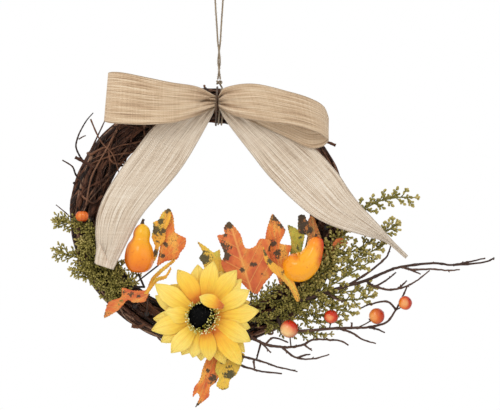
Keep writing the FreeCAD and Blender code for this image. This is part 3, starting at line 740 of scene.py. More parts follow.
# ---- grapevine ring ----------------------------------------------------------------------------------------
def vine_line(phase, reach, seed, wander, winds=0):
    """A closed turn of vine. phase and reach place it in the bundle's section, and it wanders about there."""
    steps = 190
    line = []
    for k in range(steps):
        degrees = 360 * k / steps
        turn = math.radians(degrees)
        spot = Vector((math.cos(turn) * 2.1, math.sin(turn) * 2.1, seed))
        fine = Vector((math.cos(turn) * 7, math.sin(turn) * 7, seed + 40))
        angle = phase + wander * noise.noise(spot) + 0.10 * noise.noise(fine) + winds * turn
        out = reach + 1.6 * noise.noise(spot + Vector((9, 3, 5)))
        out += 0.5 * noise.noise(fine + Vector((5, 5, 5)))
        # the bundle bulges outwards low on the left and again at the right, under the bow
        bulge = 2.6 * soft(degrees, 168, 34) + 3.4 * soft(degrees, 21, 14)
        line.append(ring_point(degrees, bulge + out * math.cos(angle), out * math.sin(angle)))
    return line


def vine_radii(count, radius, seed, knots):
    """Radii along a vine, with a swelling at each knot."""
    rng = random.Random(int(seed * 100))
    places = [rng.uniform(0, count) for _ in range(knots)]
    radii = []
    for i in range(count):
        swell = 1 + 0.16 * noise.noise(Vector((i * 0.13, seed, 0)))
        for place in places:
            swell += 0.34 * math.exp(-((i - place) / 1.1) ** 2)
        radii.append(radius * swell * MM)
    return radii


def stub(line, i, seed, length):
    """A broken side shoot that stands off a vine."""
    radius = 1.3
    rng = random.Random(int(seed * 977))
    way = (line[(i + 1) % len(line)] - line[i]).normalized()
    out = (line[i] - RING)
    out.y += (RING.y - line[i].y) * -2
    out = (out - way * out.dot(way)).normalized()
    out = (out + Vector((0, -0.7, 0)) + way * rng.uniform(-1.0, 1.0)).normalized()
    tip = line[i] + out * length * MM
    bend = line[i].lerp(tip, 0.55) + way * 0.6 * MM
    return tube([line[i], bend, tip], [radius * MM, radius * 0.85 * MM, radius * 0.95 * MM], 6, 0.3, seed,
                rng.random())


def make_vines():
    rng = random.Random(11)
    pitch = BUNDLE * 0.4
    inner = [(60 * k, pitch, 3.5) for k in range(6)]
    outside = [(36 * k, 1.45 * pitch, 3.0) for k in range(10)]
    groups = {"vine_core": [(0.0, 0.0, 3.5)] + inner + outside}
    for k in range(6):
        groups[f"vine_{k + 1}"] = [
            (60 * k + shift, BUNDLE - radius - 0.4, radius)
            for shift, radius in ((0, 2.6), (30, 2.5), (15, 2.0), (45, 1.8), (8, 1.4), (38, 1.3), (23, 1.2),
                                  (53, 1.1))
        ]
    for node, turns in groups.items():
        parts = []
        for number, (phase, reach, radius) in enumerate(turns):
            seed = rng.uniform(0, 90)
            outer = node != "vine_core"
            winds = rng.choice((-2, -1, 1, 2)) if outer and number > 3 else 0
            line = vine_line(math.radians(phase), reach, seed, 0.75 if outer else 0.1, winds)
            radii = vine_radii(len(line), radius * rng.uniform(0.88, 1.1), seed, 9 if outer else 0)
            parts.append(tube(line, radii, 8 if outer and radius > 2 else 6, 0.34, seed, rng.random(),
                              closed=True))
            if outer:
                for _ in range(2):
                    parts.append(stub(line, rng.randrange(len(line)), rng.random(), rng.uniform(3, 6.5)))
        make_piece(f"grape{node}", parts, BARK, "vine_bark", node)


def make_binding():
    """Thin vines tied round the bundle."""
    parts = []
    for number, degrees in enumerate((22, 61, 116, 148, 172, 197.5, 250, 297)):
        line = band_line(degrees, 1.9, 60, 7.0, number * 3.1)
        parts.append(tube(line, vine_radii(60, 1.15, number + 0.5, 2), 7, 0.25, number, 0.75, closed=True))
    make_piece("binding_vine_wraps", parts, BARK, "vine_bark", "binding_vines")


# route from the ring's centre, radius at the root and at the tip, how far it stands off the vines
TENDRILS = [
    ([(-137, 62), (-141, 68), (-145, 78), (-143, 88), (-139, 97), (-133, 107), (-126, 115)], 1.1, 0.6, 1.5),
    ([(-136, 34), (-145, 47), (-149, 56), (-160, 63)], 1.2, 0.7, 0.5),
    ([(-127, 56), (-136, 61), (-146, 66)], 2.0, 1.7, 3.5),
    ([(-128, 75), (-121, 90), (-113, 107)], 1.0, 0.7, 0.5),
    ([(-142, -8), (-156, 5), (-167, 14)], 0.8, 0.5, 0.5),
    ([(119, 80), (129, 83), (140, 79)], 1.3, 1.6, 0.5),
    ([(-69, -117), (-77, -120), (-84, -119)], 1.6, 1.9, 0.5),
    ([(-142, 86), (-137, 89), (-134, 90)], 0.8, 0.5, 1.5),
    ([(-129, 108), (-118, 84), (-104, 68), (-96, 42)], 0.9, 0.7, 2.0),
    ([(-100, 96), (-112, 74), (-128, 44), (-134, 12)], 1.2, 0.9, 1.6),
]


STRANDS = 34              # loose strands over the front of the ring
UPPER_STRANDS = 22        # how many of them start at the upper left


def loose_strands():
    """Thin shoots that cross the front of the bundle, most of them at the upper left."""
    rng = random.Random(31)
    parts = []
    for number in range(STRANDS):
        if number < UPPER_STRANDS:
            start = rng.uniform(108, 190)
        else:
            start = rng.choice((rng.uniform(212, 245), rng.uniform(2, 40)))
        span = rng.uniform(12, 40) * rng.choice((-1, 1))
        first, second = rng.uniform(-165, -120), rng.uniform(-60, -15)
        out = BUNDLE + rng.uniform(0.2, 2.2)
        points = []
        for k in range(6):
            share = k / 5
            angle = math.radians(first + (second - first) * share)
            reach = out + 1.2 * noise.noise(Vector((number, share * 3, 0)))
            degrees = start + span * share + 3 * noise.noise(Vector((share * 3, number, 5)))
            points.append(ring_point(degrees, reach * math.cos(angle), reach * math.sin(angle)))
        line = smooth_line(points, 6)
        radius = rng.uniform(0.6, 1.15)
        radii = [radius * (1 - 0.4 * i / len(line)) * MM for i in range(len(line))]
        parts.append(tube(line, radii, 6, 0.2, number * 1.7, rng.uniform(0.35, 0.95)))
    return parts


def make_tendrils():
    parts = []
    for number, (route, thick, thin, lift) in enumerate(TENDRILS):
        depth = -BUNDLE - thick - lift
        line = smooth_line([at(x, z, depth) for x, z in route], 8)
        last = len(line) - 1
        radii = [(thick + (thin - thick) * i / last) * MM * (1 + 0.1 * math.sin(i * 1.7))
                 for i in range(last + 1)]
        parts.append(tube(line, radii, 8, 0.25, number * 2.3, 0.35 + 0.05 * number))
    parts += loose_strands()
    make_piece("vine_tendrils", parts, BARK, "vine_bark", "tendrils")


make_vines()
make_binding()
make_tendrils()


# ---- burlap bow --------------------------------------------------------------------------------------------
RIBBON = 61.0 * MM
RIBBON_THICK = 0.8 * MM
WIRE_EDGE = 0.55 * MM
PLEATS = 4                # folds that take up the ribbon's width where the pinch gathers it
PLEAT_REACH = 34.0        # mm from the pinch over which they open out


def lerp_track(values, places):
    """One smooth function of place for each coordinate of the values, which are points."""
    tracks = [track([(place, value[k]) for place, value in zip(places, values)]) for k in range(3)]
    return lambda place: Vector([one(place) for one in tracks])


def gather(width, reach, cross):
    """The depth in mm of the pleats that hold the ribbon's spare width, at a reach in mm from the pinch."""
    spare = math.sqrt(max(0.0, (RIBBON / MM) ** 2 - width ** 2))
    return spare / (4 * PLEATS) * soft(reach, 0.0, PLEAT_REACH) * math.sin(2 * math.pi * PLEATS * cross)


def ribbon_strip(name, stations, dress, material, ends_held, long_count):
    """A ribbon through stations, each a pair of edge points, in mm from the ring's centre, and its length.
    dress moves a point given (share of the length, share of the width) by a depth in mm.
    The pinch holds the ribbon's first end, or both its ends."""
    wide_count = 26
    middles = [(Vector(a) + Vector(b)) / 2 for a, b in stations]
    places = distances(middles)
    length = places[-1]
    edge_a = lerp_track([a for a, b in stations], places)
    edge_b = lerp_track([b for a, b in stations], places)
    verts, coords = [], []
    for i in range(long_count):
        run = i / (long_count - 1)
        a = edge_a(run * length)
        b = edge_b(run * length)
        reach = min(run, 1 - run if ends_held == 2 else 1) * length
        for k in range(wide_count):
            cross = k / (wide_count - 1)
            x, z, depth = a.lerp(b, cross)
            verts.append(at(x, z, depth + dress(run, cross) + gather((a - b).length, reach, cross)))
            coords.append((run * length * MM, cross * RIBBON))
    strip = make_object(name, verts, grid(long_count, wide_count), material, coords)
    thicken(strip, RIBBON_THICK)
    rims = []
    for k in (0, wide_count - 1):
        line = [verts[i * wide_count + k] for i in range(long_count)]
        part = tube(line, [WIRE_EDGE] * long_count, 6)
        rims.append((part[0], part[1], [(u, 0.5 * RIBBON * v) for u, v in part[2]], part[3]))
    rim_verts, rim_faces, rim_coords, _ = join_parts(rims)
    rim = make_object(name + "_rim", rim_verts, rim_faces, material, rim_coords)
    with bpy.context.temp_override(active_object=strip, selected_editable_objects=[strip, rim]):
        bpy.ops.object.join()
    return strip, round(length * MM, 3)


def left_loop_dress(run, cross):
    """Pleats that fan out of the pinch, and the slow waves of a wired ribbon."""
    near = soft(run, 0.0, 0.13)
    far = soft(run, 1.0, 0.12)
    pleat = 3.4 * near * math.sin(cross * 15.0 + 0.6) + 5.0 * near * soft(cross, 0.62, 0.10)
    back = 1.8 * far * math.sin(cross * 13.0)
    wave = 1.2 * math.sin(run * 9.0 + cross * 2.0) * (0.3 + cross) * (1 - near)
    fold = 1.6 * soft(cross - 0.9 * run, 0.12, 0.09) * soft(run, 0.2, 0.2)
    slit = 8.0 * soft(cross, 0.9 - 5.8 * run, 0.06) * soft(run, 0.045, 0.035)
    return pleat + back + wave + fold + slit


def right_loop_dress(run, cross):
    near = soft(run, 0.0, 0.12)
    far = soft(run, 1.0, 0.12)
    pleat = 3.2 * near * math.sin(cross * 14.0 + 2.2) + 3.4 * near * soft(cross, 0.35, 0.09)
    bulge = -3.2 * math.sin(math.pi * cross) * soft(run, 0.25, 0.2)
    return pleat + bulge + 1.8 * far * math.sin(cross * 13.0) + 0.9 * math.sin(run * 11.0 + cross * 3.0)


LEFT_LOOP = [
    ((8.4, 121, -31), (8.4, 133, -31)), ((-17, 110, -45), (-12, 143, -44)),
    ((-40, 104, -53), (-40, 147.5, -52)),
    ((-70, 102, -57.5), (-72, 154, -57)), ((-95, 103, -57), (-92, 158, -56)),
    ((-108, 104, -52), (-104, 159, -51)),
    ((-113.5, 106, -45), (-109, 158, -44)), ((-108, 107, -38), (-104, 157, -37)),
    ((-90, 107, -34.5), (-85, 153, -34)),
    ((-50, 109, -31), (-45, 147, -31)), ((8.4, 121, -28), (8.4, 133, -28)),
]
RIGHT_LOOP = [
    ((11.6, 121, -31), (11.6, 133, -31)), ((28, 112, -45), (19, 142, -42)), ((63, 105, -54), (50, 146, -53)),
    ((98, 100, -58), (90, 137, -58)), ((118, 94, -57), (112, 130, -56)), ((130, 87, -50), (127, 121, -47)),
    ((131.5, 84, -45), (132, 108, -42)), ((125, 78, -38), (126, 118, -37)),
    ((111, 76.5, -35), (105, 122, -34)),
    ((92, 85, -33), (85, 128, -32)), ((60, 100, -31), (50, 133, -30.5)),
    ((11.6, 121, -28), (11.6, 133, -28)),
]


def make_loops():
    for side, stations, dress in (("left", LEFT_LOOP, left_loop_dress),
                                  ("right", RIGHT_LOOP, right_loop_dress)):
        loop, length = ribbon_strip(f"burlap_{side}_loop", stations, dress, BURLAP, 2, 120)
        claim(loop, "burlap", f"bow_{side}_loop")


def hang(points):
    """Edge points of a tail, given flat as (x, z), put on the plane that leans forward from the pinch."""
    placed = []
    for pair in points:
        placed.append(tuple(
            (x, PINCH[1] + (z - PINCH[1]) * math.cos(TAIL_LEAN),
             TAIL_DEPTH + (z - PINCH[1]) * math.sin(TAIL_LEAN))
            for x, z in pair))
    return placed


LEFT_TAIL = [
    ((8, 133), (8, 121)), ((-20, 123), (4, 112)), ((-57, 101), (-10, 86)), ((-80, 73), (-24, 62)),
    ((-97, 50), (-37, 44)), ((-113, 24), (-58, 20)), ((-121, 2), (-74, 0)), ((-123, -18), (-84, -18)),
    ((-122, -34), (-92, -34)), ((-124, -51), (-104, -58)),
]
RIGHT_TAIL = [
    ((12, 133), (12, 121)), ((36, 126), (18, 109)), ((60, 116), (32, 90)), ((88, 98), (46, 72)),
    ((116, 76), (68, 44)), ((142, 48), (101, 12)), ((154, 30), (122, -3)), ((166, 14), (143, -12)),
    ((188, -10), (174, -21)), ((202, -26), (195, -28)), ((219, -43), (216.5, -45.5)),
]


def left_tail_dress(run, cross):
    near = soft(run, 0.0, 0.10)
    pleat = 2.2 * near * math.sin(cross * 13.0)
    wave = 2.0 * math.sin(run * 6.0 + 0.8) * (cross - 0.5)
    crease_at = 0.62 * max(0.0, run - 0.62) / 0.38
    turned_back = 9.0 * max(0.0, crease_at - cross) * (run > 0.62)
    return -1.0 + pleat + wave + turned_back - 1.6 * math.sin(math.pi * cross) * (1 - near)


def right_tail_dress(run, cross):
    near = soft(run, 0.0, 0.10)
    pleat = 2.2 * near * math.sin(cross * 13.0 + 1.0)
    ridge = -2.6 * soft(cross, 0.52 - 0.15 * run, 0.16) * (1 - near)
    twist = 9.0 * (0.5 - cross) * max(0.0, run - 0.55) / 0.45
    return -1.0 + pleat + ridge + twist


def make_turned_corner():
    """The lower corner of the left tail, turned back in front of it."""
    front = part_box("bow_left_tail")[0].y - 1.0 * MM
    rows, across = 9, 7
    verts, coords = [], []
    for i in range(rows):
        share = i / (rows - 1)
        outer = Vector((-120 - 4 * share, -27 - 23.5 * share))
        crease = Vector((-119.5 + 15.5 * share, -27 - 30 * share))
        for k in range(across):
            x, z = outer.lerp(crease, k / (across - 1))
            spot = at(x, z, 0)
            verts.append(Vector((spot.x, front - 3.2 * MM * math.sin(math.pi * k / (across - 1)), spot.z)))
            coords.append((0.035 * share, 0.014 * share * k / (across - 1)))
    piece = make_object("burlap_turned_corner", verts, grid(rows, across), BURLAP_PALE, coords)
    thicken(piece, RIBBON_THICK, 1)
    claim(piece, "burlap", "bow_left_tail", body="left_tail")
    return piece


def make_tails():
    for side, stations, dress in (("left", LEFT_TAIL, left_tail_dress),
                                  ("right", RIGHT_TAIL, right_tail_dress)):
        tail, length = ribbon_strip(f"burlap_{side}_tail", hang(stations), dress, BURLAP_PALE, 1, 110)
        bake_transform(tail)
        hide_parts(f"bow_{side}_tail_top", f"bow_{side}_tail")
        corner = [make_turned_corner()] if side == "left" else []


def make_tie():
    """A brown wire round the pinch of the bow and round the vines behind it."""
    lean = 0.04
    middle = MIDDLE_HEIGHT - 0.5
    side = PINCH[0] - 0.75
    line = []
    for k in range(19):
        turn = math.radians(90 - 10 * k)
        height = (BUNDLE + 1.4) * math.sin(turn)
        line.append(at(side + lean * height, middle + height, (BUNDLE + 1.4) * math.cos(turn)))
    above = PINCH[1] - middle
    for height, depth in ((above - 9, -33), (above - 5, -37), (above, -37.6), (above + 5, -37),
                          (above + 8, -33)):
        line.append(at(side + lean * height, middle + height, depth))
    line.append(line[0])
    parts = plies(dense(smooth_line(line, 4), 0.0015), 0.0022, 0.009, 3.0)
    make_piece("bow_tie_twist", parts, WIRE, "tie_wire", "bow_tie_wire")


make_loops()
make_tails()
make_tie()


# ---- sunflower ---------------------------------------------------------------------------------------------
FLOWER = (-4.0, -107.0)
DISC = (FLOWER[0] - 3.0, FLOWER[1] - 1.0)
PETAL_THICK = 0.45 * MM
PETAL_ROOT = 10           # the petals start this far in mm from the flower's middle
# each petal's direction in degrees, and how far its tip is from the flower's middle
FRONT_PETALS = [
    (151, 64), (116, 58), (83, 60), (57, 61), (28, 57), (2, 60), (332, 58), (309, 68), (277, 50), (254, 48),
    (229, 55), (196, 60), (177, 44),
]
BACK_PETALS = [
    (162, 58), (134, 50), (100, 56), (70, 52), (43, 57), (14, 52), (346, 52), (320, 60), (293, 58),
    (265, 50),
    (241, 50), (212, 56), (186, 56),
]


def petal(root, degrees, length, half_width, depth, rise, droop, cup, seed):
    """A pointed petal: a grid that runs out from root, which is (x, z), with its depths in mm."""
    rng = random.Random(seed)
    rows, across = 15, 9
    turn = math.radians(degrees)
    lean = rng.uniform(-0.10, 0.10)
    tilt = rng.uniform(-1.6, 1.6)
    outline = track([(0, 0.34), (0.25, 0.66), (0.52, 1.0), (0.76, 0.84), (0.92, 0.36), (1.0, 0.03)])
    verts, coords = [], []
    for i in range(rows):
        u = i / (rows - 1)
        bend = turn + lean * u * u
        for k in range(across):
            v = 2 * k / (across - 1) - 1
            wide = half_width * outline(u) * v
            frill = 1 + 0.05 * math.sin(9 * u + 4 * v + seed)
            x = root[0] + length * u * math.cos(bend) - wide * frill * math.sin(bend)
            z = root[1] + length * u * math.sin(bend) + wide * frill * math.cos(bend)
            fold = -cup * (1 - abs(v)) * math.sin(math.pi * min(u * 1.1, 1))
            fold += 0.7 * math.cos(v * 9 + seed) * u
            away = depth + rise * math.sin(math.pi * u * 0.7) + droop * u * u + fold + tilt * v * u
            verts.append(at(x, z, away))
            coords.append((u, (v + 1) / 2))
    return verts, grid(rows, across), coords, [rng.random()] * len(verts)


def make_petals():
    rng = random.Random(5)
    for name, sizes, depth, half in (("back", BACK_PETALS, -42.0, 10.0),
                                     ("front", FRONT_PETALS, -46.5, 10.4)):
        parts = []
        for number, (degrees, length) in enumerate(sizes):
            turn = math.radians(degrees)
            root = (FLOWER[0] + PETAL_ROOT * math.cos(turn), FLOWER[1] + PETAL_ROOT * math.sin(turn))
            layer = depth + 0.9 * (number % 2)
            wide = half * rng.uniform(0.92, 1.06)
            rise, droop, cup = rng.uniform(-5, -2), rng.uniform(2, 7), rng.uniform(1.4, 3.0)
            parts.append(petal(root, degrees, length - PETAL_ROOT, wide, layer, rise, droop, cup,
                               number + 1))
        if name == "front":
            # one petal is folded inwards, over the disc
            parts.append(petal((17, -98), 153, 29, 7.6, -54.0, -8.0, 3.0, 2.4, 77))
        verts, faces, coords, shade = join_parts(parts)
        piece = make_object(f"sunflower_{name}_layer", verts, faces, PETAL, coords, shade)
        thicken(piece, PETAL_THICK, 1)
        claim(piece, "petal_fabric", f"sunflower_{name}_petals")


GOLDEN_ANGLE = math.radians(137.508)


def disc_point(out, turn, depth):
    """A point this far out from the middle of the seed disc."""
    return at(DISC[0] + out * math.cos(turn), DISC[1] + out * math.sin(turn), depth)


def spiral(count, reach):
    """Places on a sunflower's head, each a golden angle on from the last."""
    for k in range(count):
        out = reach * math.sqrt((k + 0.5) / count)
        turn = k * GOLDEN_ANGLE
        yield out, turn


def make_disc():
    """The dark dome: many small blunt florets on a round cushion."""
    rng = random.Random(8)
    reach, height = 14.6, 6.0
    parts = [blob(at(DISC[0], DISC[1], -49.5), reach * MM, Vector((0, -1, 0)), 0.42, 12, 28, 0.05, 3, 0.2)]
    for out, turn in spiral(230, reach):
        rise = height * math.sqrt(max(0.0, 1 - (out / reach) ** 2))
        foot = disc_point(out, turn, -49.5 - rise)
        lean = Vector((math.cos(turn) * out * 0.05, -1, math.sin(turn) * out * 0.05)).normalized()
        tip = foot + lean * rng.uniform(0.9, 2.8) * MM
        # shade cubed: most florets stay black, and a few take the light tone as painted glints
        parts.append(tube([foot, tip], [0.70 * MM, 0.38 * MM], 5, shade=rng.random() ** 3))
    make_piece("sunflower_florets", parts, SEED, "seed_dark", "sunflower_disc")


def make_stamens():
    """Fine filaments with pale tips round the dome, thicker at the lower right."""
    rng = random.Random(21)
    parts = []
    for _ in range(270):
        turn = rng.uniform(0, 2 * math.pi)
        crowd = 0.5 + 0.5 * math.cos(turn + 0.5)
        if rng.random() > 0.55 + 0.45 * crowd:
            continue
        out = rng.uniform(14.0 - 6.5 * crowd ** 3, 18.6 + 2.2 * crowd)
        foot = disc_point(13.5, turn, -50.0)
        tip = disc_point(out, turn, -55.5 - rng.uniform(0, 3.0))
        middle = foot.lerp(tip, 0.5) + Vector((0, -0.0012, 0))
        tone = rng.uniform(0.25, 1.0)
        parts.append(tube([foot, middle, tip], [0.28 * MM, 0.24 * MM, 0.22 * MM], 4, shade=0.3))
        parts.append(blob(tip, rng.uniform(0.55, 0.85) * MM, tip - middle, 1.3, 4, 6, 0.2, tone, tone))
    make_piece("sunflower_filaments", parts, STAMEN, "stamen", "sunflower_stamens")


def make_calyx():
    """The green cup behind the petals, with pointed sepals."""
    parts = [blob(at(FLOWER[0], FLOWER[1], -38.0), 15 * MM, Vector((0, 1, 0)), 0.32, 10, 20, 0.08, 2, 0.4)]
    for number in range(12):
        degrees = number * 30 + 7
        turn = math.radians(degrees)
        root = (FLOWER[0] + 7 * math.cos(turn), FLOWER[1] + 7 * math.sin(turn))
        part = petal(root, degrees, 20, 4.6, -39.0, 2.0, -1.5, -1.0, number)
        parts.append((part[0], part[1], part[2], [0.3 + 0.05 * (number % 5)] * len(part[0])))
    make_piece("sunflower_sepals", parts, GREEN, "stem_green", "sunflower_calyx")


make_petals()
make_disc()
make_stamens()
make_calyx()


# ---- gourds ------------------------------------------------------------------------------------------------
def gourd(name, node, spine, ribs, material, blush, seed):
    """A ribbed gourd along a curved spine of (x, z, depth, radius), blushed on the side of blush."""
    places = distances([Vector(point[:3]) for point in spine])
    tracks = [track([(place, point[k]) for place, point in zip(places, spine)]) for k in range(4)]
    count, sides = 44, 40
    total = places[-1]
    line, radii = [], []
    for i in range(count):
        # closer together towards both ends, where the form turns in
        place = total * (0.5 - 0.5 * math.cos(math.pi * i / (count - 1)))
        x, z, depth, radius = (one(place) for one in tracks)
        line.append(at(x, z, depth))
        radii.append(max(radius, 0.3) * MM)
    verts, faces, coords, shade = tube(line, radii, sides)
    for i in range(count):
        for k in range(sides):
            turn = 2 * math.pi * k / sides
            spot = verts[i * sides + k]
            lump = noise.noise(spot * 45 + Vector((seed, 0, 0)))
            out = 1 + 0.022 * math.cos(ribs * turn) + 0.05 * lump
            verts[i * sides + k] = line[i] + (spot - line[i]) * out
            shade[i * sides + k] = 0.5 + 0.5 * (spot - line[i]).normalized().dot(blush)
    length = coords[(count - 1) * sides][0]
    coords = [(u / length, v) for u, v in coords]
    piece = make_object(name, verts, faces, material, coords, shade)
    claim(piece, "gourd_skin", node)


def stalk(name, node, route, radii):
    line = smooth_line([at(*point) for point in route], 6)
    last = len(line) - 1
    thickness = track([(i / (len(radii) - 1), radius * MM) for i, radius in enumerate(radii)])
    verts, faces, coords, shade = tube(line, [thickness(i / last) for i in range(last + 1)], 10, 0.3, 4.0)
    piece = make_object(name, verts, faces, STALK, coords, shade)
    claim(piece, "stalk_brown", node)


def make_gourds():
    left = gourd_material("gourd_left_skin", [
        (0.05, "dd6d04"), (0.28, "e98404"), (0.50, "ee9306"), (0.66, "eaa008"), (0.90, "e6ad14")], "b84a06")
    right = gourd_material("gourd_right_skin", [
        (0.05, "ee9206"), (0.30, "f2a008"), (0.62, "f2a60c"), (0.80, "f09c0a"), (0.95, "ea7c0a")], "c92a08")
    gourd("gourd_left_body", "gourd_left", [
        (-75.6, -60.5, -42, 1.5), (-75.6, -59.6, -42, 7.5), (-75.6, -56, -42, 12.2), (-75.4, -50, -42, 15.2),
        (-75.2, -43, -42, 15.9), (-74.8, -36, -42, 15.0), (-74.2, -30, -42, 13.0), (-73.6, -25.8, -42, 10.2),
        (-73.0, -22.5, -42, 9.2), (-72.4, -17, -42, 9.3), (-72.0, -12, -42, 7.8), (-71.9, -8.6, -42, 5.0),
        (-71.8, -6.5, -42, 1.5)], 8, left, Vector((-0.9, 0.3, -0.3)).normalized(), 3)
    gourd("gourd_right_body", "gourd_right", [
        (83.0, -47, -51, 1.0), (84.5, -48, -51, 6.5), (88.5, -50, -51, 12.0), (95, -53.5, -51, 15.6),
        (102, -54, -51, 16.2),
        (109, -49, -51, 14.2), (114, -41, -51, 11.6), (117, -34, -51, 9.9), (118, -27, -51, 8.8),
        (118, -22.8, -51, 6.0),
        (118, -20.8, -51, 1.2)], 9, right, Vector((0.85, 0.1, 0.5)).normalized(), 9)
    stalk("gourd_left_stem", "gourd_left_stalk",
          [(-71.9, -7.8, -42), (-71.4, -4.0, -42), (-70.2, -1.6, -42)], [2.6, 1.4, 1.5])
    stalk("gourd_right_stem", "gourd_right_stalk",
          [(118, -21.8, -51), (118.2, -19.4, -51), (118.6, -17.8, -51)], [2.2, 1.3, 1.3])


make_gourds()


# ---- leaves ------------------------------------------------------------------------------------------------
LEAF_THICK = 0.5 * MM
# node: (outline, foot and tip of the midrib, depth, how far it folds along the midrib, how far its tip curls,
#        printed blotches as (x, z, radius))
LEAVES = {
    "leaf_left_tall": (
        [(-56, -53), (-54, -40), (-52, -27), (-50, -14), (-49, -2), (-46, 5), (-42, 10), (-38, 2), (-37, -9),
         (-36, -16), (-31, -19), (-24, -23), (-25, -32), (-30, -38), (-34, -46), (-46, -48)],
        (-54, -52), (-42, 10), -30.0, 2.5, -3.0, [(-42, 9, 4), (-46, -30, 2.5), (-50, -42, 3)]),
    "leaf_left_low": (
        [(-64, -80), (-70, -80), (-82, -80), (-94, -77), (-95, -87), (-109, -93), (-114, -110), (-99, -102),
         (-88, -90), (-82, -93), (-69, -92)],
        (-64, -84), (-114, -110), -35.5, 2.6, -2.0, [(-84, -84, 2.5), (-92, -83, 2.5), (-76, -86, 2)]),
    "leaf_left_yellow": (
        [(-67, -79), (-62, -66), (-52, -56), (-37, -45), (-36, -48), (-50, -60), (-59, -69), (-64, -80)],
        (-65.5, -79), (-37, -46), -33.5, 0.6, -1.5, []),
    "leaf_centre_yellow": (
        [(16, -78), (8, -66), (-2, -60), (-6, -50), (-10, -44), (-6, -38), (-12, -26), (-2, -32), (6, -38),
         (13, -35), (14, -44), (20, -55), (24, -70)],
        (20, -74), (-10, -28), -31.0, 1.6, 1.0, [(-4, -45, 7.5)]),
    "leaf_centre_large": (
        [(45, -80), (35, -70), (20, -62), (14, -50), (18, -40), (10, -20), (18, -18), (17, -11), (23, -4),
         (31, -12), (36, -19), (40, -32), (45, -34), (52, -31), (57, -23), (69, -25), (66, -36), (73, -58),
         (62, -72), (54, -84)],
        (46, -76), (24, -5), -34.0, 2.4, -2.0,
        [(22.5, -6, 7), (18, -32, 6), (20, -42, 5), (19, -19, 3), (50, -52, 3), (38, -58, 3), (60, -62, 3)]),
    "leaf_centre_right": (
        [(80, -76), (74, -60), (64, -46), (62, -30), (64, -14), (70, 4), (75, 0), (85, -14), (79, -28),
         (92, -31),
         (88, -42), (86, -56)],
        (81, -74), (70, 4), -29.5, 2.2, -2.0,
        [(75, 0, 5), (82, -9, 5), (72, -28, 4), (76, -40, 4), (66, -34, 3)]),
    "leaf_right_green": (
        [(98, -52), (90, -40), (91, -26), (87, -8), (97, -12), (106, -19), (103, -36), (104, -48)],
        (100, -50), (88, -9), -24.5, 1.5, -1.0, [(98, -32, 3), (100, -22, 2)]),
    "leaf_right_brown": (
        [(116, -44), (108, -34), (109, -20), (99, -16), (99, 2), (106, 3), (109, -4), (114, 6), (118, -4),
         (124, -21),
         (126, -34)],
        (119, -41), (114, 6), -27.0, 1.8, -1.0,
        [(102, 0, 7), (102, -9, 7), (103, -18, 6), (112, -14, 4), (115, -28, 4)]),
    "leaf_bottom_orange": (
        [(6, -146), (-2, -156), (-6, -166), (-9, -178), (-15, -186), (-17, -197), (-12, -192), (-9, -197),
         (-14, -208),
         (-6, -202), (1, -196), (2, -186), (9, -180), (14, -168), (15, -152)],
        (9, -148), (-13, -207), -27.5, 1.8, -1.5, [(5, -178, 6), (-13, -206, 4), (0, -168, 2)]),
    "leaf_bottom_yellow": (
        [(18, -146), (10, -158), (8, -168), (12, -176), (9, -184), (15, -189), (22, -187), (24, -178),
         (31, -172),
         (36, -162), (40, -150), (28, -144)],
        (24, -146), (17, -188), -30.0, 1.6, 0.5, [(24, -171, 6.5), (34, -158, 4), (14, -160, 1.5)]),
}


def ragged(outline, seed):
    """The outline with its corners softened and small teeth along it."""
    count = len(outline)
    line = []
    for i in range(count):
        p0, p1, p2, p3 = (Vector(outline[(i + k) % count]) for k in (-1, 0, 1, 2))
        steps = max(2, round((p2 - p1).length / 1.6))
        normal = Vector((p2.y - p1.y, p1.x - p2.x)).normalized()
        for k in range(steps):
            t = k / steps
            curve = curve_point(p0, p1, p2, p3, t)
            straight = p1.lerp(p2, t)
            tooth = 0.45 * noise.noise(Vector((i * 3.1 + t * 5, seed, 0))) + (0.35 if k % 2 else -0.2)
            line.append(straight.lerp(curve, 0.55) + normal * tooth * (1 if k else 0))
    return line


def blade(outline, foot, tip, depth, fold, curl, blotches, seed):
    """A leaf's blade as (verts, faces, coords, shade), folded along its midrib and a little wavy.
    blotches are printed dark spots, each (x, z, radius). The shade is 1 in the middle of one."""
    edge = ragged(outline, seed)
    low_x, high_x = min(p.x for p in edge), max(p.x for p in edge)
    low_z, high_z = min(p.y for p in edge), max(p.y for p in edge)
    step = 2.0
    spots = list(edge)
    for i in range(int((high_x - low_x) / step) + 1):
        for k in range(int((high_z - low_z) / step) + 1):
            spots.append(Vector((low_x + (i + 0.5 * (k % 2)) * step, low_z + k * step)))
    ring = [(i, (i + 1) % len(edge)) for i in range(len(edge))]
    flat, _, faces, _, _, _ = geometry.delaunay_2d_cdt(spots, ring, [], 1, 0.05)
    run = Vector(tip) - Vector(foot)
    length = run.length
    run.normalize()
    side = Vector((-run.y, run.x))
    half = max(abs((p - Vector(foot)).dot(side)) for p in edge)
    verts, coords, shade = [], [], []
    for p in flat:
        along = (p - Vector(foot)).dot(run) / length
        across = (p - Vector(foot)).dot(side) / half
        wave = 1.5 * noise.noise(Vector((p.x * 0.07, p.y * 0.07, seed)))
        lift = depth - fold * abs(across) ** 1.3 + curl * max(0.0, along) ** 2 + wave
        verts.append(at(p.x, p.y, lift))
        coords.append((along, across))
        shade.append(max([soft((p - Vector(spot[:2])).length, 0, spot[2]) for spot in blotches] + [0.0]))
    return verts, [tuple(face) for face in faces], coords, shade


def make_leaf(node, material, shape=None, name=None):
    """The blade that stands for a CAD leaf, or another shape of leaf that belongs to it."""
    seed = sum(map(ord, name or node)) % 50
    verts, faces, coords, shade = blade(*(shape or LEAVES[node]), seed)
    piece = make_object(name or node.replace("leaf", "blade"), verts, faces, material, coords, shade)
    thicken(piece, LEAF_THICK)
    claim(piece, "leaf_orange" if "orange" in material.name else "leaf_yellow", node)


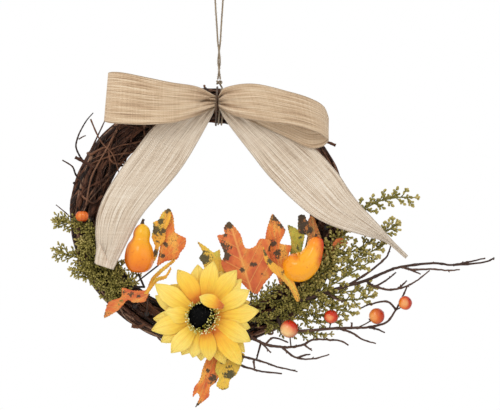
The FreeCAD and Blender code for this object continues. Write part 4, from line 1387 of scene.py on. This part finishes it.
def make_leaf_stems():
    """Wired stalks from each leaf's foot back to its dab of glue."""
    anchors = (223, 232, 239, 279, 293, 309, 331, 346, 275, 283)
    parts = []
    for (_, foot, _, depth, _, _, _), degrees in zip(LEAVES.values(), anchors):
        start, end = at(foot[0], foot[1], depth + 0.4), ring_point(degrees, 0, DAB_FACE)
        line = smooth_line([start, start.lerp(end, 0.5) + Vector((0, -0.002, 0)), end], 6)
        parts.append(tube(line, [0.9 * MM] * len(line), 7, 0.2, degrees, 0.4))
    make_piece("leaf_stalks", parts, TWIG, "twig_brown", *LEAVES)


def make_leaves():
    orange = leaf_material("leaf_orange_print", "bf5426", "d26a2e", "dd8a3a", "2e2a14", 3.0, 0.80)
    warm = leaf_material("leaf_orange_gold", "c45420", "dc7628", "e8a23e", "2f2b14", 8.0, 0.77)
    yellow = leaf_material("leaf_yellow_print", "dfb838", "e3b43a", "c9b440", "35341a", 5.0, 0.82)
    gold = leaf_material("leaf_yellow_gold", "eab02c", "e29a2c", "dbbb40", "3a3418", 12.0, 0.80)
    green = leaf_material("leaf_yellow_green", "aaa638", "bfae3a", "8f9638", "343a1a", 15.0, 0.78)
    brown = leaf_material("leaf_orange_brown", "7a5824", "bd6a2c", "9c8232", "262312", 18.0, 0.72)
    for node, cloth in zip(LEAVES, (warm, orange, gold, yellow, orange, warm, green, brown, warm, yellow)):
        make_leaf(node, cloth)
    # leaves that share a stem with another: a darkly printed one, a strip of yellow edge, a blade seen edge
    # on in front of the right gourd, and two tips among the greenery
    make_leaf("leaf_left_tall", gold, (
        [(-60, -5), (-54, -2), (-50, 6), (-43, 10), (-40, 5), (-42, -5), (-46, -13), (-47, -24), (-53, -32),
         (-56, -43), (-61, -52), (-62, -43), (-58, -32), (-62, -21), (-60, -13)],
        (-60, -50), (-43, 9), -32.5, 1.2, -2.0,
        [(-43, 8, 4.5), (-57, -14, 7), (-52, -5, 4), (-58, -38, 4), (-48, -14, 3),
         (-55, -26, 3)]), "blade_left_dark")
    make_leaf("leaf_left_yellow", gold, (
        [(-73, -91), (-68, -79), (-57, -66), (-47, -63), (-41, -54), (-40, -57), (-46, -67), (-55, -70),
         (-64, -81),
         (-69, -92)], (-71, -90), (-41, -55), -35.0, 0.6, -1.0, []), "blade_left_strip")
    make_leaf("leaf_centre_right", gold, (
        [(60, -31), (66, -43), (76, -52), (88, -60), (95, -72), (101, -89), (97, -92), (89, -77), (80, -67),
         (70, -59), (62, -47)], (62, -34), (98, -90), -58.0, -0.8, 6.0,
        [(84, -60, 3), (68, -48, 4), (64, -38, 3)]), "blade_edge_on")
    make_leaf("leaf_right_brown", orange, (
        [(136, -30), (141, -23), (149, -23), (154, -28), (147, -31), (142, -35)],
        (137, -31), (153, -27), -27.5, 0.8, 0.0, []), "blade_far_tip")
    make_leaf("leaf_right_brown", warm, (
        [(126, -50), (128, -40), (134, -33), (141, -36), (140, -44), (133, -50)],
        (128, -49), (139, -36), -26.5, 0.8, 0.0, [(134, -42, 1.5)]), "blade_far_low")
    make_leaf_stems()


make_leaves()


# ---- evergreen sprigs --------------------------------------------------------------------------------------
# node: (glued foot in degrees, depth, stems as routes, steps along a stem, length of a side shoot,
#        whether it has needles or buds)
SPRIGS = {
    "sprig_left_upper": (193, -25.0, [
        [(-128, -16), (-144, -8), (-156, -5), (-164, -4)],
        [(-126, -26), (-132, -34), (-136, -28)]], 15, 13, True),
    "sprig_left_lower": (207, -25.0, [
        [(-122, -54), (-134, -47), (-153, -41), (-165, -37)],
        [(-122, -62), (-132, -60), (-146, -58)],
        [(-112, -62), (-112, -50), (-108, -38)]], 15, 14, True),
    "sprig_left_under": (214, -25.0, [
        [(-100, -90), (-112, -79), (-121, -71)],
        [(-98, -86), (-92, -74), (-80, -66)],
        [(-104, -80), (-102, -66), (-96, -54)]], 13, 12, True),
    "sprig_right_top": (355, -25.0, [
        [(148, -6), (169, 8), (188, 18), (208, 22), (224, 22)]], 14, 15, False),
    "sprig_right_upper": (342, -25.0, [
        [(156, -38), (182, -24), (196, -15), (204, -9)],
        [(130, -42), (139, -28), (150, -18)],
        [(126, -56), (136, -46), (150, -38)]], 13, 14, False),
    "sprig_right_middle": (335, -30.5, [
        [(143, -58), (160, -49), (178, -38), (192, -30)],
        [(118, -84), (132, -76), (160, -59), (182, -46)],
        [(112, -70), (124, -60), (140, -50)]], 13, 14, False),
    "sprig_right_low": (324, -25.0, [
        [(120, -84), (140, -89), (163, -90), (178, -86)],
        [(96, -91), (128, -85), (156, -81), (180, -78)],
        [(100, -82), (118, -92), (140, -100), (158, -104)]], 13, 14, False),
    "sprig_right_inner": (314, -25.0, [
        [(94, -98), (108, -104), (128, -107), (142, -107)],
        [(80, -102), (98, -88), (112, -75)],
        [(56, -94), (66, -82), (82, -74)]], 13, 13, True),
    "sprig_right_bottom": (300, -25.0, [
        [(68, -118), (84, -124), (100, -126), (116, -127), (130, -128)],
        [(52, -112), (90, -110), (122, -115), (146, -113)]], 12, 12, True),
}


def leaflet(foot, way, length, radius, tone):
    """A blunt club-shaped leaflet."""
    line = [foot + way * length * share * MM for share in (0.0, 0.35, 0.7, 0.92, 1.0)]
    radii = [radius * share * MM for share in (0.42, 0.72, 1.0, 0.86, 0.42)]
    verts, faces, coords, _ = tube(line, radii, 5)
    shade = []
    for share in (0.0, 0.15, 0.5, 0.95, 1.0):
        shade += [tone * 0.75 + 0.25 * share] * 5
    return verts, faces, coords, shade


def spread(way, around, angle, lean_to_front=0.0):
    """A direction that leaves way by an angle, turned about it."""
    front = Vector((0, -1, 0))
    side = way.cross(front).normalized()
    up = side.cross(way)
    out = side * math.cos(around) + up * math.sin(around) * 0.8 + front * lean_to_front
    return (way * math.cos(angle) + out * math.sin(angle)).normalized()


def leafy_shoot(parts, foot, way, length, needles, rng, tone):
    """A side shoot with leaflets in pairs along it and at its tip."""
    bend = foot + way * length * 0.55 * MM
    tip = foot + way * length * MM + Vector((0, -0.0008, 0.0006))
    parts.append(tube([foot, bend, tip], [0.75 * MM, 0.62 * MM, 0.5 * MM], 5, shade=0.40))
    pairs = max(2, round(length / (2.8 if needles else 3.3)))
    for k in range(1, pairs + 1):
        share = k / pairs
        spot = foot.lerp(tip, share)
        for side in (0.0, math.pi):
            around = side + rng.uniform(-0.5, 0.5) + (math.pi / 2 if k % 2 else 0)
            out = spread(way, around, rng.uniform(0.6, 0.95))
            size = rng.uniform(4.2, 5.8) * (1 - 0.2 * share)
            parts.append(leaflet(spot, out, size, 1.0 if needles else 1.4, tone + rng.uniform(-0.2, 0.2)))
    parts.append(leaflet(tip, way, 4.8, 1.05 if needles else 1.5, tone + 0.15))


def stem_with_shoots(parts, line, count, reach, needles, rng):
    """A stem with side shoots to either side by turns, and now and then one towards the front."""
    last = len(line) - 1
    parts.append(tube(line, [(1.3 - 0.6 * i / last) * MM for i in range(last + 1)], 7, 0.15, 2.0, 0.32))
    for k in range(count):
        share = 0.12 + 0.86 * k / count
        i = int(share * last)
        way = (line[min(i + 1, last)] - line[max(i - 1, 0)]).normalized()
        turns = [0.0 if k % 2 else math.pi]
        if needles or k % 2 == 0:
            turns.append(turns[0] + math.pi / 2)
        for around in turns:
            out = spread(way, around + rng.uniform(-0.3, 0.3), rng.uniform(0.65, 0.95), 0.25)
            length = reach * (1.0 - 0.4 * share) * rng.uniform(0.75, 1.1)
            leafy_shoot(parts, line[i], out, length, needles, rng,
                        (0.26 if needles else 0.36) + 0.42 * share)
    leafy_shoot(parts, line[-1], (line[-1] - line[-3]).normalized(), 4.0, needles, rng, 0.8)


def make_sprig(node):
    degrees, depth, routes, count, reach, needles = SPRIGS[node]
    rng = random.Random(sum(map(ord, node)))
    # the glued foot lies on the dabs' faces
    foot = ring_point(degrees, 0, DAB_FACE)
    parts = []
    for number, route in enumerate(routes):
        points = [at(x, z, depth - 1.5 * number) for x, z in route]
        stem_with_shoots(parts, smooth_line([foot] + points, 10), count, reach, needles, rng)
    make_piece(node.replace("sprig", "greenery"), parts, OLIVE, "sprig_olive", node)


for sprig_node in SPRIGS:
    make_sprig(sprig_node)


# ---- twig sprays -------------------------------------------------------------------------------------------
# node: (anchor in degrees, trunk, radius at its root, branches, depth)
TWIGS = {
    "twig_spray_long": (
        319,
        [(101, -91), (130, -82), (152, -75), (173, -69), (196, -59), (212, -54), (246, -50), (269, -52),
         (302, -49), (314, -44)],
        1.9,
        [
            [(173, -69), (182, -75), (190, -72), (199, -66), (206, -60)],
            [(182, -75), (196, -79), (208, -78), (218, -75), (229, -69), (243, -58)],
            [(208, -78), (213, -74), (218, -69)],
            [(212, -54), (224, -57), (246, -56.5), (263, -58), (276, -57)],
            [(212, -54), (220, -56.5), (226, -59), (233, -62)],
            [(269, -52), (284, -49), (304, -44.5)],
            [(130, -82), (140, -89), (150, -92)],
            [(152, -75), (176, -60), (194, -45), (198, -38), (201, -29)],
        ],
        -31.0),
    "twig_spray_berries": (
        304,
        [(80, -119), (98, -124), (133, -122), (157, -121), (176, -120), (195, -115), (206, -101), (213, -87),
         (218, -76)],
        1.6,
        [
            [(145, -122), (159, -127), (170, -134), (184, -138)],
            [(176, -120), (184, -122), (194, -126)],
            [(157, -121), (158, -115)],
            [(206, -101), (196, -92), (178, -95), (168, -99)],
        ],
        -33.5),
    "twig_spray_low": (
        288,
        [(46, -131), (63, -139), (81, -142), (91, -142), (105, -139), (115, -134), (133, -134), (145, -135),
         (154, -140)],
        1.5,
        [
            [(81, -142), (89, -149), (98, -154), (114, -155), (133, -150)],
            [(98, -154), (105, -151), (112, -150)],
            [(105, -139), (114, -146)],
            [(56, -135), (69, -148)],
            [(58, -137), (53, -156)],
            [(63, -139), (72, -132), (88, -137)],
        ],
        -30.0),
    "twig_spray_bottom": (
        271,
        [(14, -138), (22, -147), (35, -161), (49, -166), (61, -169), (81, -171)],
        1.4,
        [
            [(22, -147), (41, -153), (53, -156), (66, -160), (77, -164), (91, -167), (98, -169)],
            [(50, -157), (51, -166)],
        ],
        -33.5),
}


def twig_line(route, depth, seed):
    """A smooth line through a twig's route, a little crooked."""
    points = [at(x, z, depth) for x, z in route]
    line = smooth_line(points, 9)
    for i in range(1, len(line) - 1):
        kink = Vector((0, noise.noise(Vector((i * 0.35, seed, 2))),
                       noise.noise(Vector((i * 0.5, seed, 7))) * 0.5))
        line[i] = line[i] + kink * 0.9 * MM
    return line


def twig(line, thick, thin, seed):
    """A tapering twig with swollen joints."""
    last = len(line) - 1
    radii = []
    for i in range(last + 1):
        joint = 0.28 * max(0.0, math.sin(i * 0.7 + seed)) ** 8
        radii.append((thick + (thin - thick) * i / last) * (1 + joint) * MM)
    return tube(line, radii, 8, 0.10, seed, 0.35 + 0.4 * (seed % 1))


def buds(line, seed, every=24):
    """Small pointed buds that stand off a twig."""
    rng = random.Random(int(seed * 10))
    parts = []
    for i in range(6, len(line) - 3, every):
        way = (line[i + 1] - line[i]).normalized()
        out = spread(way, rng.choice((0.3, 2.8)), 0.8)
        tip = line[i] + out * rng.uniform(1.8, 3.2) * MM
        parts.append(tube([line[i], line[i].lerp(tip, 0.6), tip], [0.75 * MM, 0.7 * MM, 0.25 * MM], 6, 0.2,
                          seed, 0.6))
    return parts


def make_twigs():
    for node, (degrees, trunk, thick, branches, depth) in TWIGS.items():
        seed = degrees * 0.37
        root = ring_point(degrees, 0, DAB_FACE)
        line = twig_line(trunk, depth, seed)
        parts = [tube([root, root.lerp(line[0], 0.5), line[0]], [1.1 * thick * MM] * 3, 7, 0.2, 1.0, 0.3)]
        parts.append(twig(line, 1.1 * thick, 0.85, seed))
        parts += buds(line, seed)
        for number, route in enumerate(branches):
            branch = twig_line(route, depth, seed + number)
            parts.append(twig(branch, 1.35, 0.72, seed + number * 0.61))
            parts += buds(branch, seed + number, 21)
        make_piece(node.replace("twig_spray", "twigs"), parts, TWIG, "twig_brown", node)


make_twigs()


# ---- berries -----------------------------------------------------------------------------------------------
# node: (centre, radius, depth, foot of its stem, depth of that foot, way that its blushed end points)
BERRIES = {
    "berry_large": ((89, -122), 9.9, -43.0, (91, -142), -30.0, (0.35, -0.5, 0.8)),
    "berry_near": ((135, -108.5), 7.7, -41.5, (133, -122), -33.5, (0.1, -0.3, 0.95)),
    "berry_middle": ((185, -108), 8.8, -33.5, (164, -120.6), -33.5, (0.8, -0.5, 0.2)),
    "berry_far": ((216, -93.5), 7.7, -42.5, (206, -101), -33.5, (0.9, -0.1, 0.35)),
}


def berry_stem(foot, foot_depth, centre, depth):
    start, end = at(foot[0], foot[1], foot_depth), at(centre[0], centre[1], depth)
    sag = start.lerp(end, 0.5) + Vector((0, -0.0006, -0.0012))
    return tube(smooth_line([start, sag, end], 6), [0.8 * MM] * 13, 7, 0.2, 3.0, 0.5)


def make_berries():
    skins = {
        "berry_large": berry_material("berry_peach", "f0b060", "f2cc8e", "cf2c10"),
        "berry_near": berry_material("berry_red", "e0701c", "d83810", "bd1c0c"),
        "berry_middle": berry_material("berry_blush", "ecab50", "e58838", "cc4418"),
        "berry_far": berry_material("berry_orange", "ea8a20", "e0600e", "bc2c0c"),
    }
    for node, (centre, radius, depth, foot, foot_depth, blush) in BERRIES.items():
        middle = at(centre[0], centre[1], depth)
        axis = Vector(blush).normalized()
        verts, faces, coords, shade = blob(middle, radius * MM, axis, 0.97, 24, 32, 0.03, radius)
        # shade for the painted highlight and painted rim shade: 1 where the skin faces the camera and a
        # little to the left, falling towards the rim
        shade = [0.5 + 0.5 * (middle.y - vert.y + 0.3 * (middle.x - vert.x)) / (radius * MM)
                 for vert in verts]
        body = make_object(node + "_fruit", verts, faces, skins[node], coords, shade)
        start = at(foot[0], foot[1], foot_depth)
        away = (start - middle).normalized()
        bits = [berry_stem(foot, foot_depth, centre, depth)]
        for k in range(5):
            turn = 2 * math.pi * k / 5
            side = away.orthogonal().normalized()
            out = (side * math.cos(turn) + away.cross(side) * math.sin(turn) + away * 0.6).normalized()
            rim = middle + away * radius * 0.93 * MM
            bits.append(tube([rim, rim + out * 1.6 * MM, rim + out * 2.8 * MM],
                             [0.8 * MM, 0.6 * MM, 0.2 * MM], 5))
        far_end = middle - away * radius * 0.94 * MM
        bits.append(blob(far_end, 1.1 * MM, -away, 0.6, 5, 7, 0.3, 2.0, 0.2))
        verts, faces, coords, shade = join_parts(bits)
        stem = make_object(node + "_stem", verts, faces, STALK, coords, shade)
        for piece, slot in ((body, "berry_skin"), (stem, "twig_brown")):
            claim(piece, slot, node)


def make_pumpkin_berry():
    """A small ribbed and grainy orange pumpkin at the left of the ring."""
    middle = at(-138, 1.5, -36.0)
    rows, sides = 18, 48
    verts, coords = [], []
    for i in range(rows + 1):
        tilt = math.pi * i / rows
        for k in range(sides):
            turn = 2 * math.pi * k / sides
            rib = 0.86 + 0.14 * abs(math.sin(4 * turn)) ** 0.6
            grain = 1 + 0.04 * noise.noise(Vector((math.cos(turn) * 6, math.sin(turn) * 6, tilt * 5)))
            out = 7.4 * rib * grain * math.sin(tilt) ** 0.85
            rise = 6.2 * math.cos(tilt) * (1 - 0.18 * math.exp(-(out / 2.5) ** 2))
            verts.append(middle + Vector((out * math.cos(turn), out * math.sin(turn), rise)) * MM)
            coords.append((k / sides, 1 - i / rows))
    skin = berry_material("pumpkin_skin", "c25410", "e07418", "e2731c")
    # shade for the painted highlight and painted rim shade: highest where the skin faces the camera, falling
    # towards the rim
    shade = [0.62 + 0.4 * (middle.y - vert.y) / (7.4 * MM) for vert in verts]
    body = make_object("pumpkin_fruit", verts, round_faces(rows, sides), skin, coords, shade)
    crown = middle + Vector((0, 0, 0.0050))
    bits = [tube([crown, crown + Vector((0.0004, -0.0004, 0.0022)),
                  crown + Vector((0.0012, -0.0006, 0.0034))],
                 [1.5 * MM, 0.9 * MM, 0.9 * MM], 8, 0.3)]
    bits.append(tube([middle, ring_point(181, 0, DAB_FACE)], [0.9 * MM, 0.9 * MM], 7))
    verts, faces, coords, shade = join_parts(bits)
    stem = make_object("pumpkin_stem", verts, faces, STALK, coords, shade)
    for piece, slot in ((body, "berry_skin"), (stem, "twig_brown")):
        claim(piece, slot, "berry_pumpkin")


make_berries()
make_pumpkin_berry()


# ---- CAD pieces that keep their own shape ------------------------------------------------------------------
def dress_cad(node, material):
    cad_piece = bpy.data.objects[node]
    if not cad_piece.material_slots:
        cad_piece.data.materials.append(material)
    for slot in cad_piece.material_slots:
        slot.material = material


dress_cad("sunflower_stem", GREEN)
dress_cad("gourd_picks", TWIG)
dress_cad("glue_dabs", GLUE)


# ---- floor, light and view ---------------------------------------------------------------------------------
def make_floor():
    below = 0.80              # the wreath hangs this far in metres above the floor
    half = 4.0
    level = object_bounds()[0][2] - below
    verts = [(x, y, level) for x in (-half, half) for y in (-half, half)]
    floor = make_object("floor", verts, [(0, 2, 3, 1)], floor_material())


def make_light(name, place, aim, size, power):
    data = bpy.data.lights.new(name, "AREA")
    data.shape = "DISK"
    data.size = size
    data.energy = power
    light = bpy.data.objects.new(name, data)
    light.location = place
    light.rotation_euler = (Vector(aim) - Vector(place)).to_track_quat("-Z", "Y").to_euler()
    bpy.context.scene.collection.objects.link(light)


def make_light_and_view():
    world = bpy.data.worlds.new("studio")
    world.use_nodes = True
    backdrop = world.node_tree.nodes["Background"]
    backdrop.inputs["Color"].default_value = (1, 1, 1, 1)
    backdrop.inputs["Strength"].default_value = 1.0
    scene = bpy.context.scene
    scene.world = world
    scene.view_settings.view_transform = "Standard"
    scene.view_settings.look = "None"
    middle = (0.03, RING.y, RING.z)
    make_light("key", (-0.7, -1.3, 0.7), middle, 0.7, 7)
    make_light("fill", (0.9, -1.2, 0.1), middle, 0.9, 1.5)


make_floor()
make_light_and_view()
